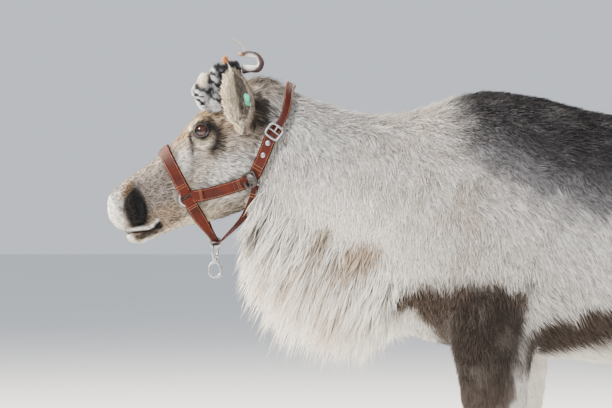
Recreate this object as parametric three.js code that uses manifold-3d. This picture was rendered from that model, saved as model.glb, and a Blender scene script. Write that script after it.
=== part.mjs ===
// A domestic reindeer in its winter coat, standing, life size, in a leather halter with a swivel.
// Millimetres, +Z up. The nose points along -X and the animal's left side faces -Y.
// Every body is worked out in the animal's own frame, with y = 0 the plane through its spine and
// z = 0 the floor, and the whole is centred over its bounding box at the end.
import * as THREE from "three";
import { mergeVertices } from "three/addons/utils/BufferGeometryUtils.js";
import Module from "manifold-3d";

const wasm = await Module();
wasm.setup();

const GAP = 0.3; // clearance between neighbouring bodies
const CUT = 0.4; // width of the thin cuts that part the body into its nodes
const LEFT = -1; // the animal's left side, towards -Y
const RIGHT = 1;
const SIDES = [["left", LEFT], ["right", RIGHT]];

// Head frame: t runs from the nape towards the nose, h at a right angle to it, up over the forehead
const HEAD = { x: -569, z: 950, droop: 28 };

// Outline of the trunk and neck, from the buttocks to the poll. Each section is a slice from its
// point on the back to its point on the belly, with its half width, the height of its widest
// line as a share of the slice, and how square it is (2 is an ellipse).
const TRUNK = [
  { back: [886, 884], belly: [888, 806], wide: 42, widest: 0.5, full: 2 },
  { back: [862, 940], belly: [874, 730], wide: 98, widest: 0.5, full: 2.1 },
  { back: [780, 984], belly: [800, 664], wide: 150, widest: 0.52, full: 2.2 },
  { back: [655, 1004], belly: [668, 612], wide: 180, widest: 0.52, full: 2.3 },
  { back: [510, 996], belly: [505, 556], wide: 200, widest: 0.48, full: 2.3 },
  { back: [320, 982], belly: [310, 510], wide: 222, widest: 0.45, full: 2.25 },
  { back: [110, 1003], belly: [106, 512], wide: 220, widest: 0.45, full: 2.2 },
  { back: [-55, 1042], belly: [-62, 526], wide: 196, widest: 0.44, full: 2.1 },
  { back: [-160, 1047], belly: [-222, 548], wide: 176, widest: 0.44, full: 2.05 },
  { back: [-285, 1012], belly: [-350, 594], wide: 152, widest: 0.45, full: 2.1 },
  { back: [-385, 1010], belly: [-478, 652], wide: 128, widest: 0.48, full: 2.1 },
  { back: [-478, 1040], belly: [-562, 730], wide: 108, widest: 0.5, full: 2.1 },
  { back: [-545, 1066], belly: [-602, 806], wide: 86, widest: 0.5, full: 2.1 },
  { back: [-590, 1040], belly: [-622, 870], wide: 52, widest: 0.5, full: 2 },
];

// Head sections, from the nape to the nose, in the head frame
const SKULL = [
  { t: -84, top: 82, bottom: -26, wide: 44, widest: 0.5, full: 2 },
  { t: -58, top: 112, bottom: -58, wide: 72, widest: 0.55, full: 2.1 },
  { t: -18, top: 119, bottom: -76, wide: 80, widest: 0.58, full: 2.1 },
  { t: 60, top: 112, bottom: -103, wide: 75, widest: 0.66, full: 2.1 },
  { t: 92, top: 103, bottom: -106, wide: 74, widest: 0.68, full: 2.2 },
  { t: 120, top: 92, bottom: -102, wide: 65, widest: 0.64, full: 2.2 },
  { t: 147, top: 80, bottom: -97, wide: 56, widest: 0.58, full: 2.2 },
  { t: 176, top: 71, bottom: -90, wide: 50, widest: 0.52, full: 2.3 },
  { t: 240, top: 60, bottom: -66, wide: 46, widest: 0.5, full: 2.3 },
  { t: 270, top: 56, bottom: -48, wide: 51, widest: 0.5, full: 2.4 },
  { t: 296, top: 50, bottom: -38, wide: 52, widest: 0.5, full: 2.4 },
  { t: 314, top: 40, bottom: -34, wide: 44, widest: 0.5, full: 2.3 },
  { t: 325, top: 22, bottom: -22, wide: 27, widest: 0.5, full: 2.1 },
  { t: 330, top: 8, bottom: -10, wide: 10, widest: 0.5, full: 2 },
];
const CHIN = [
  { t: 150, top: -40, bottom: -84, wide: 30 },
  { t: 205, top: -32, bottom: -79, wide: 38 },
  { t: 236, top: -28, bottom: -75, wide: 40 },
  { t: 262, top: -24, bottom: -71, wide: 40 },
  { t: 292, top: -21, bottom: -70, wide: 38 },
  { t: 310, top: -26, bottom: -63, wide: 29 },
  { t: 319, top: -36, bottom: -54, wide: 15 },
];
const MOUTH = { line: [[253, -53], [272, -54], [291, -47], [308, -40], [330, -37]], open: 2.4, half: 70 };
const NOSTRIL = { t: 277, h: 5, y: 49, long: 21, across: 8.5, deep: 13, lean: 20 };
const CHEEK = { t: 60, h: -32, y: 40, radii: [78, 60, 38] };
const NOSTRIL_RIM = { t: 284, h: 10, y: 34, radii: [27, 31, 20] };

const EYE = { t: 93, h: 66, y: 58, radius: 17 };
const LIDS = { at: [91, 63, 51], radii: [35, 28, 25.5], open: [15.5, 11.5], turn: 10 };

const EAR = { t: 8, h: 47, y: 65, length: 106, width: 31, wall: 5, toTip: [-22, 86, 56], facing: [0.35, -0.1, 0.93] };
const TAG = { at: 0.42, round: 0.55, long: 27, wide: 13, thick: 2.4, stud: 2.6 };

// Antler stumps in velvet, in the head frame: a thick beam that leans back, a brow bud before it, and
// at the left a thin tine that hooks over
const ANTLER = {
  beam: {
    path: [[36, 84, 42], [32, 104, 44], [20, 127, 46], [8, 146, 47], [-10, 146, 48], [-25, 137, 48]],
    radii: [26, 27, 24, 21, 17, 12],
  },
  brow: { path: [[54, 98, 41], [55, 114, 43], [49, 131, 46], [40, 148, 48], [34, 156, 49]], radii: [14, 21, 27, 19, 9] },
  knob: { at: [-11, 164, 50], radii: [6, 8, 6] },
  tine: {
    path: [[-30, 134, 48], [-44, 128, 49], [-57, 121, 50], [-68, 129, 51], [-67, 143, 51], [-57, 153, 51], [-37, 163, 50]],
    radii: [9, 7, 6.5, 6, 5.5, 5, 3.2],
  },
};

// Leg sections from top to bottom: front and rear edge in the side view and half width, for the
// left leg of each pair. Each leg is then set at its own distance from the spine and step.
const FORELEG = [
  { back: [-206, 770], belly: [-62, 790], wide: 46, y: 88 },
  { back: [-236, 670], belly: [-36, 690], wide: 62, y: 108 },
  { back: [-230, 588], belly: [-38, 606], wide: 63, y: 120 },
  { back: [-214, 510], belly: [-52, 524], wide: 54, y: 126 },
  { back: [-198, 440], belly: [-68, 446], wide: 46, y: 124 },
  { back: [-190, 380], belly: [-82, 382], wide: 41, y: 122 },
  { back: [-187, 330], belly: [-91, 328], wide: 41, y: 121 },
  { back: [-178, 282], belly: [-104, 282], wide: 33, y: 120 },
  { back: [-173, 215], belly: [-110, 215], wide: 29, y: 119 },
  { back: [-173, 165], belly: [-108, 163], wide: 31, y: 118 },
  { back: [-182, 130], belly: [-100, 122], wide: 38, y: 118 },
  { back: [-198, 92], belly: [-110, 82], wide: 39, y: 118 },
  { back: [-214, 58], belly: [-126, 44], wide: 42, y: 118 },
  { back: [-214, 38], belly: [-134, 30], wide: 36, y: 118 },
];
const HINDLEG = [
  { back: [600, 880], belly: [818, 900], wide: 60, y: 96 },
  { back: [528, 780], belly: [858, 806], wide: 78, y: 108 },
  { back: [504, 690], belly: [846, 718], wide: 80, y: 116 },
  { back: [520, 612], belly: [812, 650], wide: 68, y: 121 },
  { back: [584, 545], belly: [792, 582], wide: 54, y: 123 },
  { back: [652, 486], belly: [808, 522], wide: 43, y: 123 },
  { back: [708, 430], belly: [836, 462], wide: 37, y: 122 },
  { back: [732, 374], belly: [824, 394], wide: 34, y: 121 },
  { back: [744, 300], belly: [810, 304], wide: 29, y: 120 },
  { back: [742, 220], belly: [804, 220], wide: 28, y: 119 },
  { back: [739, 170], belly: [802, 168], wide: 31, y: 118 },
  { back: [728, 132], belly: [810, 124], wide: 38, y: 118 },
  { back: [711, 92], belly: [798, 82], wide: 39, y: 118 },
  { back: [694, 58], belly: [782, 44], wide: 42, y: 118 },
  { back: [694, 38], belly: [774, 30], wide: 36, y: 118 },
];
const STEP = { fore: { left: 0, right: 62 }, hind: { left: -26, right: 40 } };
const LEG_TOP = { fore: [[-232, 560], [-30, 606]], hind: [[470, 604], [900, 690]] };
const KNEE = { fore: [[-200, 330], [-80, 330]], hind: [[690, 452], [850, 400]] };

// Hoof: one toe's sole as a length and width, the height of its coronet and the splay of the pair
const HOOF = { heel: -124, long: 98, wide: 43, high: 58, coronetBack: 12, coronet: 0.74, splay: 7, apart: 25, sides: 12 };
const DEWCLAW = { x: -114, z: 74, y: 24, long: 44, back: 18, radii: [15, 13, 5] };
const HIND_SHIFT = 908; // from a fore hoof to the hind hoof of the same side

const TAIL = [
  { back: [852, 950], belly: [846, 905], wide: 26 },
  { back: [880, 948], belly: [866, 896], wide: 30 },
  { back: [909, 918], belly: [872, 880], wide: 32 },
  { back: [917, 870], belly: [882, 850], wide: 28 },
  { back: [914, 828], belly: [888, 818], wide: 20 },
  { back: [908, 796], belly: [895, 790], wide: 9 },
];

// Locks: of the ruff along the throat, and of the tail. The throat's lie is its share forward,
// and lengths are given from the throat to the brisket.
const RUFF = {
  from: 8.85, to: 12.2, rows: 6, across: 5, spread: 64, wide: 31, thick: 6, sunk: 16, steps: 3,
  forward: [-0.12, 0.08, 0.28, 0.34, 0.1], lengths: [90, 98, 98, 88, 52],
};
const TAIL_LOCKS = { rows: 2, across: 3, length: 62, wide: 13, thick: 4, sunk: 8, steps: 3 };

// Halter, in the head frame. Guide points lie outside the coat, each with the point it is drawn to.
const STRAP = { wide: 24, thick: 3.6, off: 1.6, fold: 7.6, foldLong: 26 };
const NOSE_RING = { t: 178, h: -33, radius: 14, wire: 2.6 };
const JUNCTION = { t: 50, h: -62, radius: 13.5, wire: 2.6 };
const CHEEK_PATH = [[169, -35], [140, -45], [106, -53], [80, -58], [60, -61]];
const CROWN_PATH = [
  [44, -56, 130, 44, -56], [24, -41, 130, 24, -41], [4, -25, 130, 4, -25], [-16, -8, 130, -16, -8],
  [-36, 4, 130, -36, 0], [-58, 18, 130, -52, 8], [-84, 52, 100, -62, 6], [-106, 92, 54, -72, 6], [-116, 110, 0, -80, 6],
];
const CHIN_PATH = [[178, -43, 90, -20], [177, -64, 80, -25], [176, -92, 62, -25]];
const CHIN_DROP = [[173, -106, 24], [171.5, -121, 9]];
const THROAT_PATH = [[51, -73, 110, -73]];
const THROAT_DROP = [[62, -85, 73], [80, -101, 61], [106, -117, 44], [136, -127, 25], [165, -135, 8]];
const BUCKLE = { at: 0.19, long: 30, wide: 32, wire: 2.3 };
const RIVET = { at: [0.09, 0.14], radius: 5.2, high: 2.2 };
const SWIVEL = {
  x: -659, loop: { z: 753, wide: 22, high: 18.5, wire: 2.2 }, shackle: { z: 735, wide: 25, high: 27, wire: 2.4 },
  barrel: { z: 719.5, radius: 6, high: 9 }, lower: { z: 700, wide: 27, high: 34, wire: 2.8 },
};

const DEG = Math.PI / 180;
const COAT = {
  white: 0xe6e0d6, grey: 0x8d8984, brown: 0x4a403a, velvet: 0x2a282b, horn: 0x3a332d, leather: 0x7c3219,
  metal: 0xb9bcc0, eye: 0x1c0f0a, tag: 0x3fae90,
};

const v3 = (x, y, z) => new THREE.Vector3(x, y, z);

// A point of the head frame as a point of the animal
function headPoint(t, h, y = 0) {
  const c = Math.cos(HEAD.droop * DEG);
  const s = Math.sin(HEAD.droop * DEG);
  return v3(HEAD.x - t * c - h * s, y, HEAD.z - t * s + h * c);
}

// A direction of the head frame, as forward, up and sideways
function headDirection(t, h, y) {
  return headPoint(t, h, y).sub(headPoint(0, 0, 0)).normalize();
}

// Sections given in the head frame, in the form that the trunk's have
function inHead(sections) {
  return sections.map((s) => {
    const [top, bottom] = [headPoint(s.t, s.top), headPoint(s.t, s.bottom)];
    return { ...s, back: [top.x, top.z], belly: [bottom.x, bottom.z] };
  });
}

// Value at a real index of a list of numbers, on a Catmull-Rom curve through them
function through(list, at) {
  const i = Math.max(0, Math.min(Math.floor(at), list.length - 2));
  const f = at - i;
  const [b, c] = [list[i], list[i + 1]];
  const a = i > 0 ? list[i - 1] : 2 * b - c;
  const d = i + 2 < list.length ? list[i + 2] : 2 * c - b;
  return b + 0.5 * f * (c - a + f * (2 * a - 5 * b + 4 * c - d + f * (3 * (b - c) + d - a)));
}

// The section at a real index, as numbers on the curves through the named sections
function sectionAt(sections, at) {
  const value = (read) => through(sections.map(read), at);
  return {
    back: v3(value((s) => s.back[0]), 0, value((s) => s.back[1])),
    belly: v3(value((s) => s.belly[0]), 0, value((s) => s.belly[1])),
    wide: value((s) => s.wide),
    widest: value((s) => s.widest ?? 0.5),
    full: value((s) => s.full ?? 2),
    y: value((s) => s.y ?? 0),
  };
}

// A point on the skin of a lofted body: at is the section, angle 90 is the back and -90 the belly
function skinPoint(sections, at, angle, grow = 0) {
  const { back, belly, wide, widest, full, y } = sectionAt(sections, at);
  const up = back.clone().sub(belly).normalize();
  const middle = belly.clone().lerp(back, widest);
  const power = (value) => Math.sign(value) * Math.abs(value) ** (2 / full);
  const [across, along] = [power(Math.cos(angle * DEG)), power(Math.sin(angle * DEG))];
  const reach = (along > 0 ? back.distanceTo(middle) : belly.distanceTo(middle)) + grow;
  return middle.addScaledVector(up, along * reach).setY(y + across * (wide + grow));
}

// A closed solid from a mesh, turned the right way out
function solidOf(geometry) {
  const bare = new THREE.BufferGeometry().setAttribute("position", geometry.getAttribute("position"));
  if (geometry.index) bare.setIndex(geometry.index);
  const merged = mergeVertices(bare, 1e-4);
  const make = (triVerts) =>
    new wasm.Manifold(
      new wasm.Mesh({ numProp: 3, vertProperties: new Float32Array(merged.attributes.position.array), triVerts }),
    );
  const made = make(new Uint32Array(merged.index.array));
  if (made.volume() > 0) return made;
  return make(new Uint32Array(merged.index.array).reverse());
}

// A closed solid through rings of points, with a fan over each end
function skinned(rings) {
  const size = rings[0].length;
  const points = rings.flat();
  const middle = (ring) => ring.reduce((sum, p) => sum.add(p), v3(0, 0, 0)).divideScalar(size);
  points.push(middle(rings[0]), middle(rings.at(-1)));
  const index = [];
  for (let k = 0; k + 1 < rings.length; k++) {
    for (let i = 0; i < size; i++) {
      const j = (i + 1) % size;
      const [a, b, c, d] = [k * size + i, k * size + j, (k + 1) * size + j, (k + 1) * size + i];
      index.push(a, b, c, a, c, d);
    }
  }
  const last = (rings.length - 1) * size;
  for (let i = 0; i < size; i++) {
    const j = (i + 1) % size;
    index.push(points.length - 2, j, i, points.length - 1, last + i, last + j);
  }
  const geometry = new THREE.BufferGeometry().setFromPoints(points);
  geometry.setIndex(index);
  return solidOf(geometry);
}

// A lofted body through named sections. It can be grown, moved along x, and set on one side.
function loft(sections, { sides = 20, between = 2, grow = 0, side = 1, shift = 0 } = {}) {
  const count = (sections.length - 1) * between + 1;
  const rings = Array.from({ length: count }, (_, k) =>
    Array.from({ length: sides }, (_, i) => {
      const p = skinPoint(sections, k / between, (360 * i) / sides, grow);
      return v3(p.x + shift, p.y * side, p.z);
    }),
  );
  if (grow) {
    pushOut(rings[0], rings[1], grow);
    pushOut(rings.at(-1), rings.at(-2), grow);
  }
  return skinned(rings);
}

// Moves an end ring away from its neighbour
function pushOut(ring, neighbour, by) {
  const centre = (points) => new THREE.Box3().setFromPoints(points).getCenter(v3(0, 0, 0));
  const out = centre(ring).sub(centre(neighbour)).setLength(by);
  ring.forEach((p) => p.add(out));
}

// An ellipsoid whose axes lie along the head's forward, up and sideways directions
function headLump({ at, radii }, side = 1, grow = 0, detail = 14) {
  const geometry = new THREE.SphereGeometry(1, detail, Math.round(detail * 0.7));
  geometry.scale(radii[0] + grow, radii[2] + grow, radii[1] + grow);
  geometry.rotateY(-HEAD.droop * DEG);
  const p = headPoint(at[0], at[1], at[2] * side);
  return solidOf(geometry.translate(p.x, p.y, p.z));
}

// A round bar along a curve through points, with a radius at each
function bar(points, radii, { sides = 8, steps = 12 } = {}) {
  const curve = new THREE.CatmullRomCurve3(points);
  const frames = curve.computeFrenetFrames(steps, false);
  const rings = Array.from({ length: steps + 1 }, (_, k) => {
    const radius = through(radii, (k / steps) * (radii.length - 1));
    return Array.from({ length: sides }, (_, i) =>
      curve.getPoint(k / steps)
        .addScaledVector(frames.normals[k], radius * Math.cos((2 * Math.PI * i) / sides))
        .addScaledVector(frames.binormals[k], radius * Math.sin((2 * Math.PI * i) / sides)),
    );
  });
  return skinned(rings);
}

// A solid on the far side of a line in the side view, for cutting the body by a plane
function beyond([from, to], push = 0) {
  const size = 4000;
  const [x, z] = [to[0] - from[0], to[1] - from[1]];
  const geometry = new THREE.BoxGeometry(size, size, size).translate(0, 0, size / 2 + push);
  geometry.rotateY(-Math.atan2(z, x));
  geometry.translate((from[0] + to[0]) / 2, 0, (from[1] + to[1]) / 2);
  return solidOf(geometry);
}

// Everything on the left of a line drawn in the side view, and everything on its right
const above = (solid, line) => solid.intersect(beyond(line, CUT / 2));
const below = (solid, line) => solid.subtract(beyond(line, -CUT / 2));

const join = (solids) => solids.reduce((sum, s) => sum.add(s));

// The largest closed body of a solid
function largest(solid) {
  return solid.decompose().reduce((best, s) => (s.volume() > best.volume() ? s : best));
}

// Moves a line in the side view along x
const moved = (line, by) => line.map(([x, z]) => [x + by, z]);

// One flat, tapered lock that leaves its root, sunk in the coat, and bends over to its lie
function lock(root, out, lie, length, { wide, thick, sunk, steps }) {
  const across = out.clone().cross(lie).normalize();
  const face = across.clone().cross(lie).normalize();
  const rings = Array.from({ length: steps + 1 }, (_, k) => {
    const f = k / steps;
    const lift = length * 0.24 * f * (1 - 0.7 * f) - sunk * (1 - f) ** 3;
    const centre = root.clone().addScaledVector(lie, f * length).addScaledVector(out, lift);
    const taper = Math.max(0.1, 1 - f ** 2.6);
    return [[wide, 0], [0, thick], [-wide, 0], [0, -thick]].map(([a, b]) =>
      centre.clone().addScaledVector(across, a * taper).addScaledVector(face, b * taper),
    );
  });
  return skinned(rings);
}

// Repeatable numbers between 0 and 1
function seeded(seed) {
  let state = seed;
  return () => {
    state = (state * 1664525 + 1013904223) % 4294967296;
    return state / 4294967296;
  };
}

// Outward direction of a lofted body's skin at a section and angle
function skinNormal(sections, at, angle) {
  const along = skinPoint(sections, at + 0.05, angle).sub(skinPoint(sections, at - 0.05, angle));
  const round = skinPoint(sections, at, angle + 3).sub(skinPoint(sections, at, angle - 3));
  const normal = along.cross(round).normalize();
  const { back, belly } = sectionAt(sections, at);
  const middle = back.add(belly).multiplyScalar(0.5);
  return normal.dot(skinPoint(sections, at, angle).sub(middle)) < 0 ? normal.negate() : normal;
}

const skullSections = inHead(SKULL);
const chinSections = inHead(CHIN);

// The head and neck in one piece, before its openings are cut
function headAndNeck(grow = 0) {
  const lumps = SIDES.flatMap(([, side]) => [
    headLump({ at: [CHEEK.t, CHEEK.h, CHEEK.y], radii: CHEEK.radii }, side, grow, 12),
    headLump({ at: [NOSTRIL_RIM.t, NOSTRIL_RIM.h, NOSTRIL_RIM.y], radii: NOSTRIL_RIM.radii }, side, grow, 11),
    headLump(LIDS, side, grow, 12),
  ]);
  return join([
    loft(TRUNK, { grow }),
    loft(skullSections, { sides: 20, grow }),
    loft(chinSections, { sides: 12, grow }),
    ...lumps,
  ]);
}

// The opening between the lids, cut straight in towards the eye
function lidOpening(side) {
  const almond = new THREE.Shape();
  const [a, b] = LIDS.open;
  almond.moveTo(-a, -1);
  almond.quadraticCurveTo(0, b * 2, a, 1);
  almond.quadraticCurveTo(0, -b * 1.9, -a, -1);
  const geometry = new THREE.ExtrudeGeometry(almond, { depth: 40, bevelEnabled: false, curveSegments: 5 });
  geometry.rotateX(90 * DEG).scale(-1, 1, 1);
  geometry.rotateY((LIDS.turn - HEAD.droop) * DEG);
  const p = headPoint(EYE.t, EYE.h, EYE.y * LEFT);
  geometry.translate(p.x, p.y, p.z);
  if (side === RIGHT) geometry.scale(1, -1, 1);
  return solidOf(geometry);
}

// The slit between the lips, right through the muzzle
function mouthSlit() {
  const line = MOUTH.line.map(([t, h]) => headPoint(t, h));
  const curve = new THREE.CatmullRomCurve3(line);
  const rings = curve.getPoints(6).map((p, k) => {
    const half = 0.5 * MOUTH.open * (0.4 + 0.6 * Math.min(1, k / 4));
    const up = headDirection(0, 1, 0).multiplyScalar(half);
    return [
      p.clone().add(up).setY(-MOUTH.half), p.clone().add(up).setY(MOUTH.half),
      p.clone().sub(up).setY(MOUTH.half), p.clone().sub(up).setY(-MOUTH.half),
    ];
  });
  return skinned(rings);
}

function nostril(side) {
  const geometry = new THREE.SphereGeometry(1, 10, 7).scale(NOSTRIL.across, NOSTRIL.deep, NOSTRIL.long);
  geometry.rotateY((NOSTRIL.lean - HEAD.droop) * DEG);
  const p = headPoint(NOSTRIL.t, NOSTRIL.h, NOSTRIL.y * side);
  return solidOf(geometry.translate(p.x, p.y, p.z));
}

function eyeball(side, grow = 0) {
  const geometry = new THREE.IcosahedronGeometry(EYE.radius + grow, 2);
  const p = headPoint(EYE.t, EYE.h, EYE.y * side);
  return solidOf(geometry.translate(p.x, p.y, p.z));
}

// One ear as a leaf-shaped cup. Its rim is a crescent at every height, tightly rolled at the root.
function earFrame(side) {
  const along = headDirection(...EAR.toTip);
  const facing = headDirection(...EAR.facing);
  facing.addScaledVector(along, -facing.dot(along)).normalize();
  const mirror = (v) => v3(v.x, v.y * side, v.z);
  return { root: headPoint(EAR.t, EAR.h, EAR.y * side), along: mirror(along), facing: mirror(facing) };
}

function earPoint(side, f, round, wall) {
  const { root, along, facing } = earFrame(side);
  const across = along.clone().cross(facing).normalize();
  const half = EAR.width * (0.6 + 0.4 * Math.sin(Math.min(1, f * 1.7) * 90 * DEG)) * (1 - f ** 3.2) ** 0.62;
  const open = 168 - 98 * Math.min(1, f * 2.4) ** 0.7;
  const radius = half / Math.sin(Math.min(90, open) * DEG) + wall;
  const turn = round * open * DEG;
  const depth = half * 0.75;
  return root.clone()
    .addScaledVector(along, f * EAR.length)
    .addScaledVector(facing, depth - radius * Math.cos(turn) - (half - depth) * 0.4)
    .addScaledVector(across, radius * Math.sin(turn));
}

function ear(side) {
  const [steps, rim] = [8, 6];
  const rings = Array.from({ length: steps + 1 }, (_, k) => {
    const f = -0.18 + (1.16 * k) / steps;
    const at = Math.max(0, Math.min(f, 0.98));
    const wall = EAR.wall * (1 - 0.55 * at);
    const shift = earFrame(side).along.multiplyScalar((f - at) * EAR.length);
    const outer = Array.from({ length: rim + 1 }, (_, i) => earPoint(side, at, (2 * i) / rim - 1, 0));
    const inner = Array.from({ length: rim + 1 }, (_, i) => earPoint(side, at, 0.94 * (1 - (2 * i) / rim), -wall));
    return [...outer, ...inner].map((p) => p.add(shift));
  });
  return crescent(rings, rim);
}

// As skinned, with each end closed by a strip between its outer and inner arc
function crescent(rings, rim) {
  const size = rings[0].length;
  const index = [];
  for (let k = 0; k + 1 < rings.length; k++) {
    for (let i = 0; i < size; i++) {
      const j = (i + 1) % size;
      const [a, b, c, d] = [k * size + i, k * size + j, (k + 1) * size + j, (k + 1) * size + i];
      index.push(a, b, c, a, c, d);
    }
  }
  const last = (rings.length - 1) * size;
  for (let i = 0; i < rim; i++) {
    const [a, b, c, d] = [i, i + 1, size - 2 - i, size - 1 - i];
    index.push(a, c, b, a, d, c);
    index.push(last + a, last + b, last + c, last + a, last + c, last + d);
  }
  const geometry = new THREE.BufferGeometry().setFromPoints(rings.flat());
  geometry.setIndex(index);
  return solidOf(geometry);
}

// A plate in the cup of the left ear near its rear rim, on a stud through the ear
function earTag(grow = 0) {
  const { along } = earFrame(LEFT);
  const inner = (round) => earPoint(LEFT, TAG.at, round, -EAR.wall * (1 - 0.55 * TAG.at));
  const across = inner(TAG.round + 0.1).sub(inner(TAG.round - 0.1)).normalize();
  const out = across.clone().cross(along).normalize();
  if (out.dot(earFrame(LEFT).facing) < 0) out.negate();
  const centre = inner(TAG.round).addScaledVector(out, 1.6);
  const [half, end] = [TAG.wide / 2 + grow, TAG.long / 2 - TAG.wide / 2];
  const outline = new THREE.Shape();
  outline.absarc(0, end, half, 0, Math.PI, false);
  outline.absarc(0, -end, half, Math.PI, 2 * Math.PI, false);
  const plate = new THREE.ExtrudeGeometry(outline, { depth: TAG.thick + 2 * grow, bevelEnabled: false, curveSegments: 4 });
  plate.translate(0, 0, -grow);
  const stud = new THREE.CylinderGeometry(TAG.stud + grow, TAG.stud + grow, 10, 8).rotateX(90 * DEG).translate(0, 0, -4);
  const button = new THREE.CylinderGeometry(TAG.stud * 2 + grow, TAG.stud * 2 + grow, 2 + 2 * grow, 8);
  button.rotateX(90 * DEG).translate(0, 0, -9);
  const axes = new THREE.Matrix4().makeBasis(along.clone().cross(out), along, out).setPosition(centre);
  return join([plate, stud, button].map((geometry) => solidOf(geometry.applyMatrix4(axes))));
}

// A toe's outline on its sole, round at the tip, fuller outside than in the cleft
function toeRing(turn, { scale, back, z }) {
  const [c, s] = [Math.cos(turn), Math.sin(turn)];
  const half = (HOOF.wide / 2) * (s > 0 ? 1.12 : 0.8);
  const nose = c < 0 ? 1 : 0.86;
  const x = HOOF.heel - HOOF.long / 2 + back + (HOOF.long / 2) * c * scale * nose;
  const bend = 5 * (1 - c * c) * (s > 0 ? 1 : -0.4);
  return v3(x, (half * s + bend) * scale, z);
}

function toe(side, outer, shift) {
  const sign = outer ? 1 : -1;
  const levels = [
    { scale: 0.97, back: 0, z: 0 },
    { scale: 1, back: 0, z: 6 },
    { scale: 0.9, back: 5, z: 30 },
    { scale: HOOF.coronet, back: HOOF.coronetBack, z: HOOF.high },
  ];
  const rings = levels.map((level) =>
    Array.from({ length: HOOF.sides }, (_, i) => {
      const p = toeRing((2 * Math.PI * i) / HOOF.sides, level);
      const lean = level.z / HOOF.high;
      const turned = p.clone().sub(v3(HOOF.heel, 0, 0)).applyAxisAngle(v3(0, 0, 1), -HOOF.splay * DEG);
      const y = 118 + sign * (HOOF.apart * (1 - 0.16 * lean) + turned.y);
      const slope = level.z === HOOF.high ? (p.x - HOOF.heel + HOOF.long / 2) * 0.12 : 0;
      return v3(turned.x + HOOF.heel + shift, y * side, level.z - slope);
    }),
  );
  return skinned(rings);
}

function dewclaw(side, outer, shift) {
  const y = (118 + (outer ? 1 : -1) * DEWCLAW.y) * side;
  const points = [0, 0.5, 1].map((f) =>
    v3(DEWCLAW.x + shift + DEWCLAW.back * f, y, DEWCLAW.z - DEWCLAW.long * f * 0.9),
  );
  return bar(points, DEWCLAW.radii, { sides: 6, steps: 2 });
}

// Where a line from a guide point towards its core meets the coat
const ray = new THREE.Raycaster();
let coat;

function onCoat(guide, core) {
  const towards = core.clone().sub(guide).normalize();
  ray.set(guide.clone().addScaledVector(towards, -100), towards);
  return ray.intersectObject(coat)[0]?.point ?? core.clone().addScaledVector(towards, 50);
}

// The coat as a mesh that lines can be dropped on
function meshOf(solid) {
  const { vertProperties, triVerts } = solid.getMesh();
  const geometry = new THREE.BufferGeometry();
  geometry.setAttribute("position", new THREE.BufferAttribute(new Float32Array(vertProperties), 3));
  geometry.setIndex(new THREE.BufferAttribute(triVerts, 1));
  return new THREE.Mesh(geometry, new THREE.MeshBasicMaterial({ side: THREE.DoubleSide }));
}

// A flat strap through points, its outer face turned to the direction given at each of them. It is
// draped: three lines across it are dropped on to the coat and drawn taut over any hollow, and it
// hangs free within a distance of the middle plane. A folded end, round a ring, is thicker.
function strap(points, outs, { wide = STRAP.wide, free = 0, steps = 16 }) {
  const curve = new THREE.CatmullRomCurve3(points, false, "centripetal");
  const facing = new THREE.CatmullRomCurve3(outs, false, "centripetal");
  const long = curve.getLength();
  const sections = Array.from({ length: steps + 1 }, (_, k) => {
    const f = k / steps;
    const [p, tangent] = [curve.getPointAt(f), curve.getTangentAt(f)];
    const across = tangent.clone().cross(facing.getPoint(f)).normalize();
    const out = across.clone().cross(tangent).normalize();
    const loose = Math.max(0, Math.min(1, (free - Math.abs(p.y)) / 12));
    const half = (wide / 2) * (1 - 0.42 * loose);
    const thick = Math.min(f, 1 - f) * long < STRAP.foldLong ? STRAP.fold : STRAP.thick - loose;
    const inner = [-1, 0, 1].map((s) => {
      const at = p.clone().addScaledVector(across, s * half);
      return loose ? at : onCoat(at.clone().addScaledVector(out, 60), at).addScaledVector(out, STRAP.off);
    });
    return { inner, out, thick };
  });
  for (let pass = 0; pass < 30; pass++) {
    for (let k = 1; k < steps; k++) {
      sections[k].inner.forEach((p, i) => {
        const span = sections[k - 1].inner[i].clone().add(sections[k + 1].inner[i]).multiplyScalar(0.5);
        p.addScaledVector(sections[k].out, Math.max(0, span.sub(p).dot(sections[k].out)));
      });
    }
  }
  return skinned(sections.map(({ inner, out, thick }) =>
    [...inner, ...inner.map((q) => q.clone().addScaledVector(out, thick)).reverse()],
  ));
}

// A loop of round wire through corner points in the plane of two directions
function wireLoop(centre, across, up, halfWide, halfHigh, wire, { corner = 0.45, steps = 14, sides = 5, taper = 0 } = {}) {
  const out = across.clone().cross(up).normalize();
  const geometryPoints = [];
  const index = [];
  for (let k = 0; k < steps; k++) {
    const turn = (2 * Math.PI * k) / steps;
    const [c, s] = [Math.cos(turn), Math.sin(turn)];
    const square = (v) => Math.sign(v) * Math.abs(v) ** corner;
    const spread = 1 - taper * square(s);
    const middle = centre.clone()
      .addScaledVector(across, (halfWide - wire) * square(c) * spread)
      .addScaledVector(up, (halfHigh - wire) * square(s));
    const ahead = v3(0, 0, 0)
      .addScaledVector(across, (halfWide - wire) * c)
      .addScaledVector(up, (halfHigh - wire) * s).normalize();
    for (let i = 0; i < sides; i++) {
      const round = (2 * Math.PI * i) / sides;
      geometryPoints.push(middle.clone()
        .addScaledVector(ahead, wire * Math.cos(round))
        .addScaledVector(out, wire * Math.sin(round)));
      const [j, m] = [(i + 1) % sides, (k + 1) % steps];
      const [a, b, d, e] = [k * sides + i, k * sides + j, m * sides + j, m * sides + i];
      index.push(a, b, d, a, d, e);
    }
  }
  const geometry = new THREE.BufferGeometry().setFromPoints(geometryPoints);
  geometry.setIndex(index);
  return solidOf(geometry);
}

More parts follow.
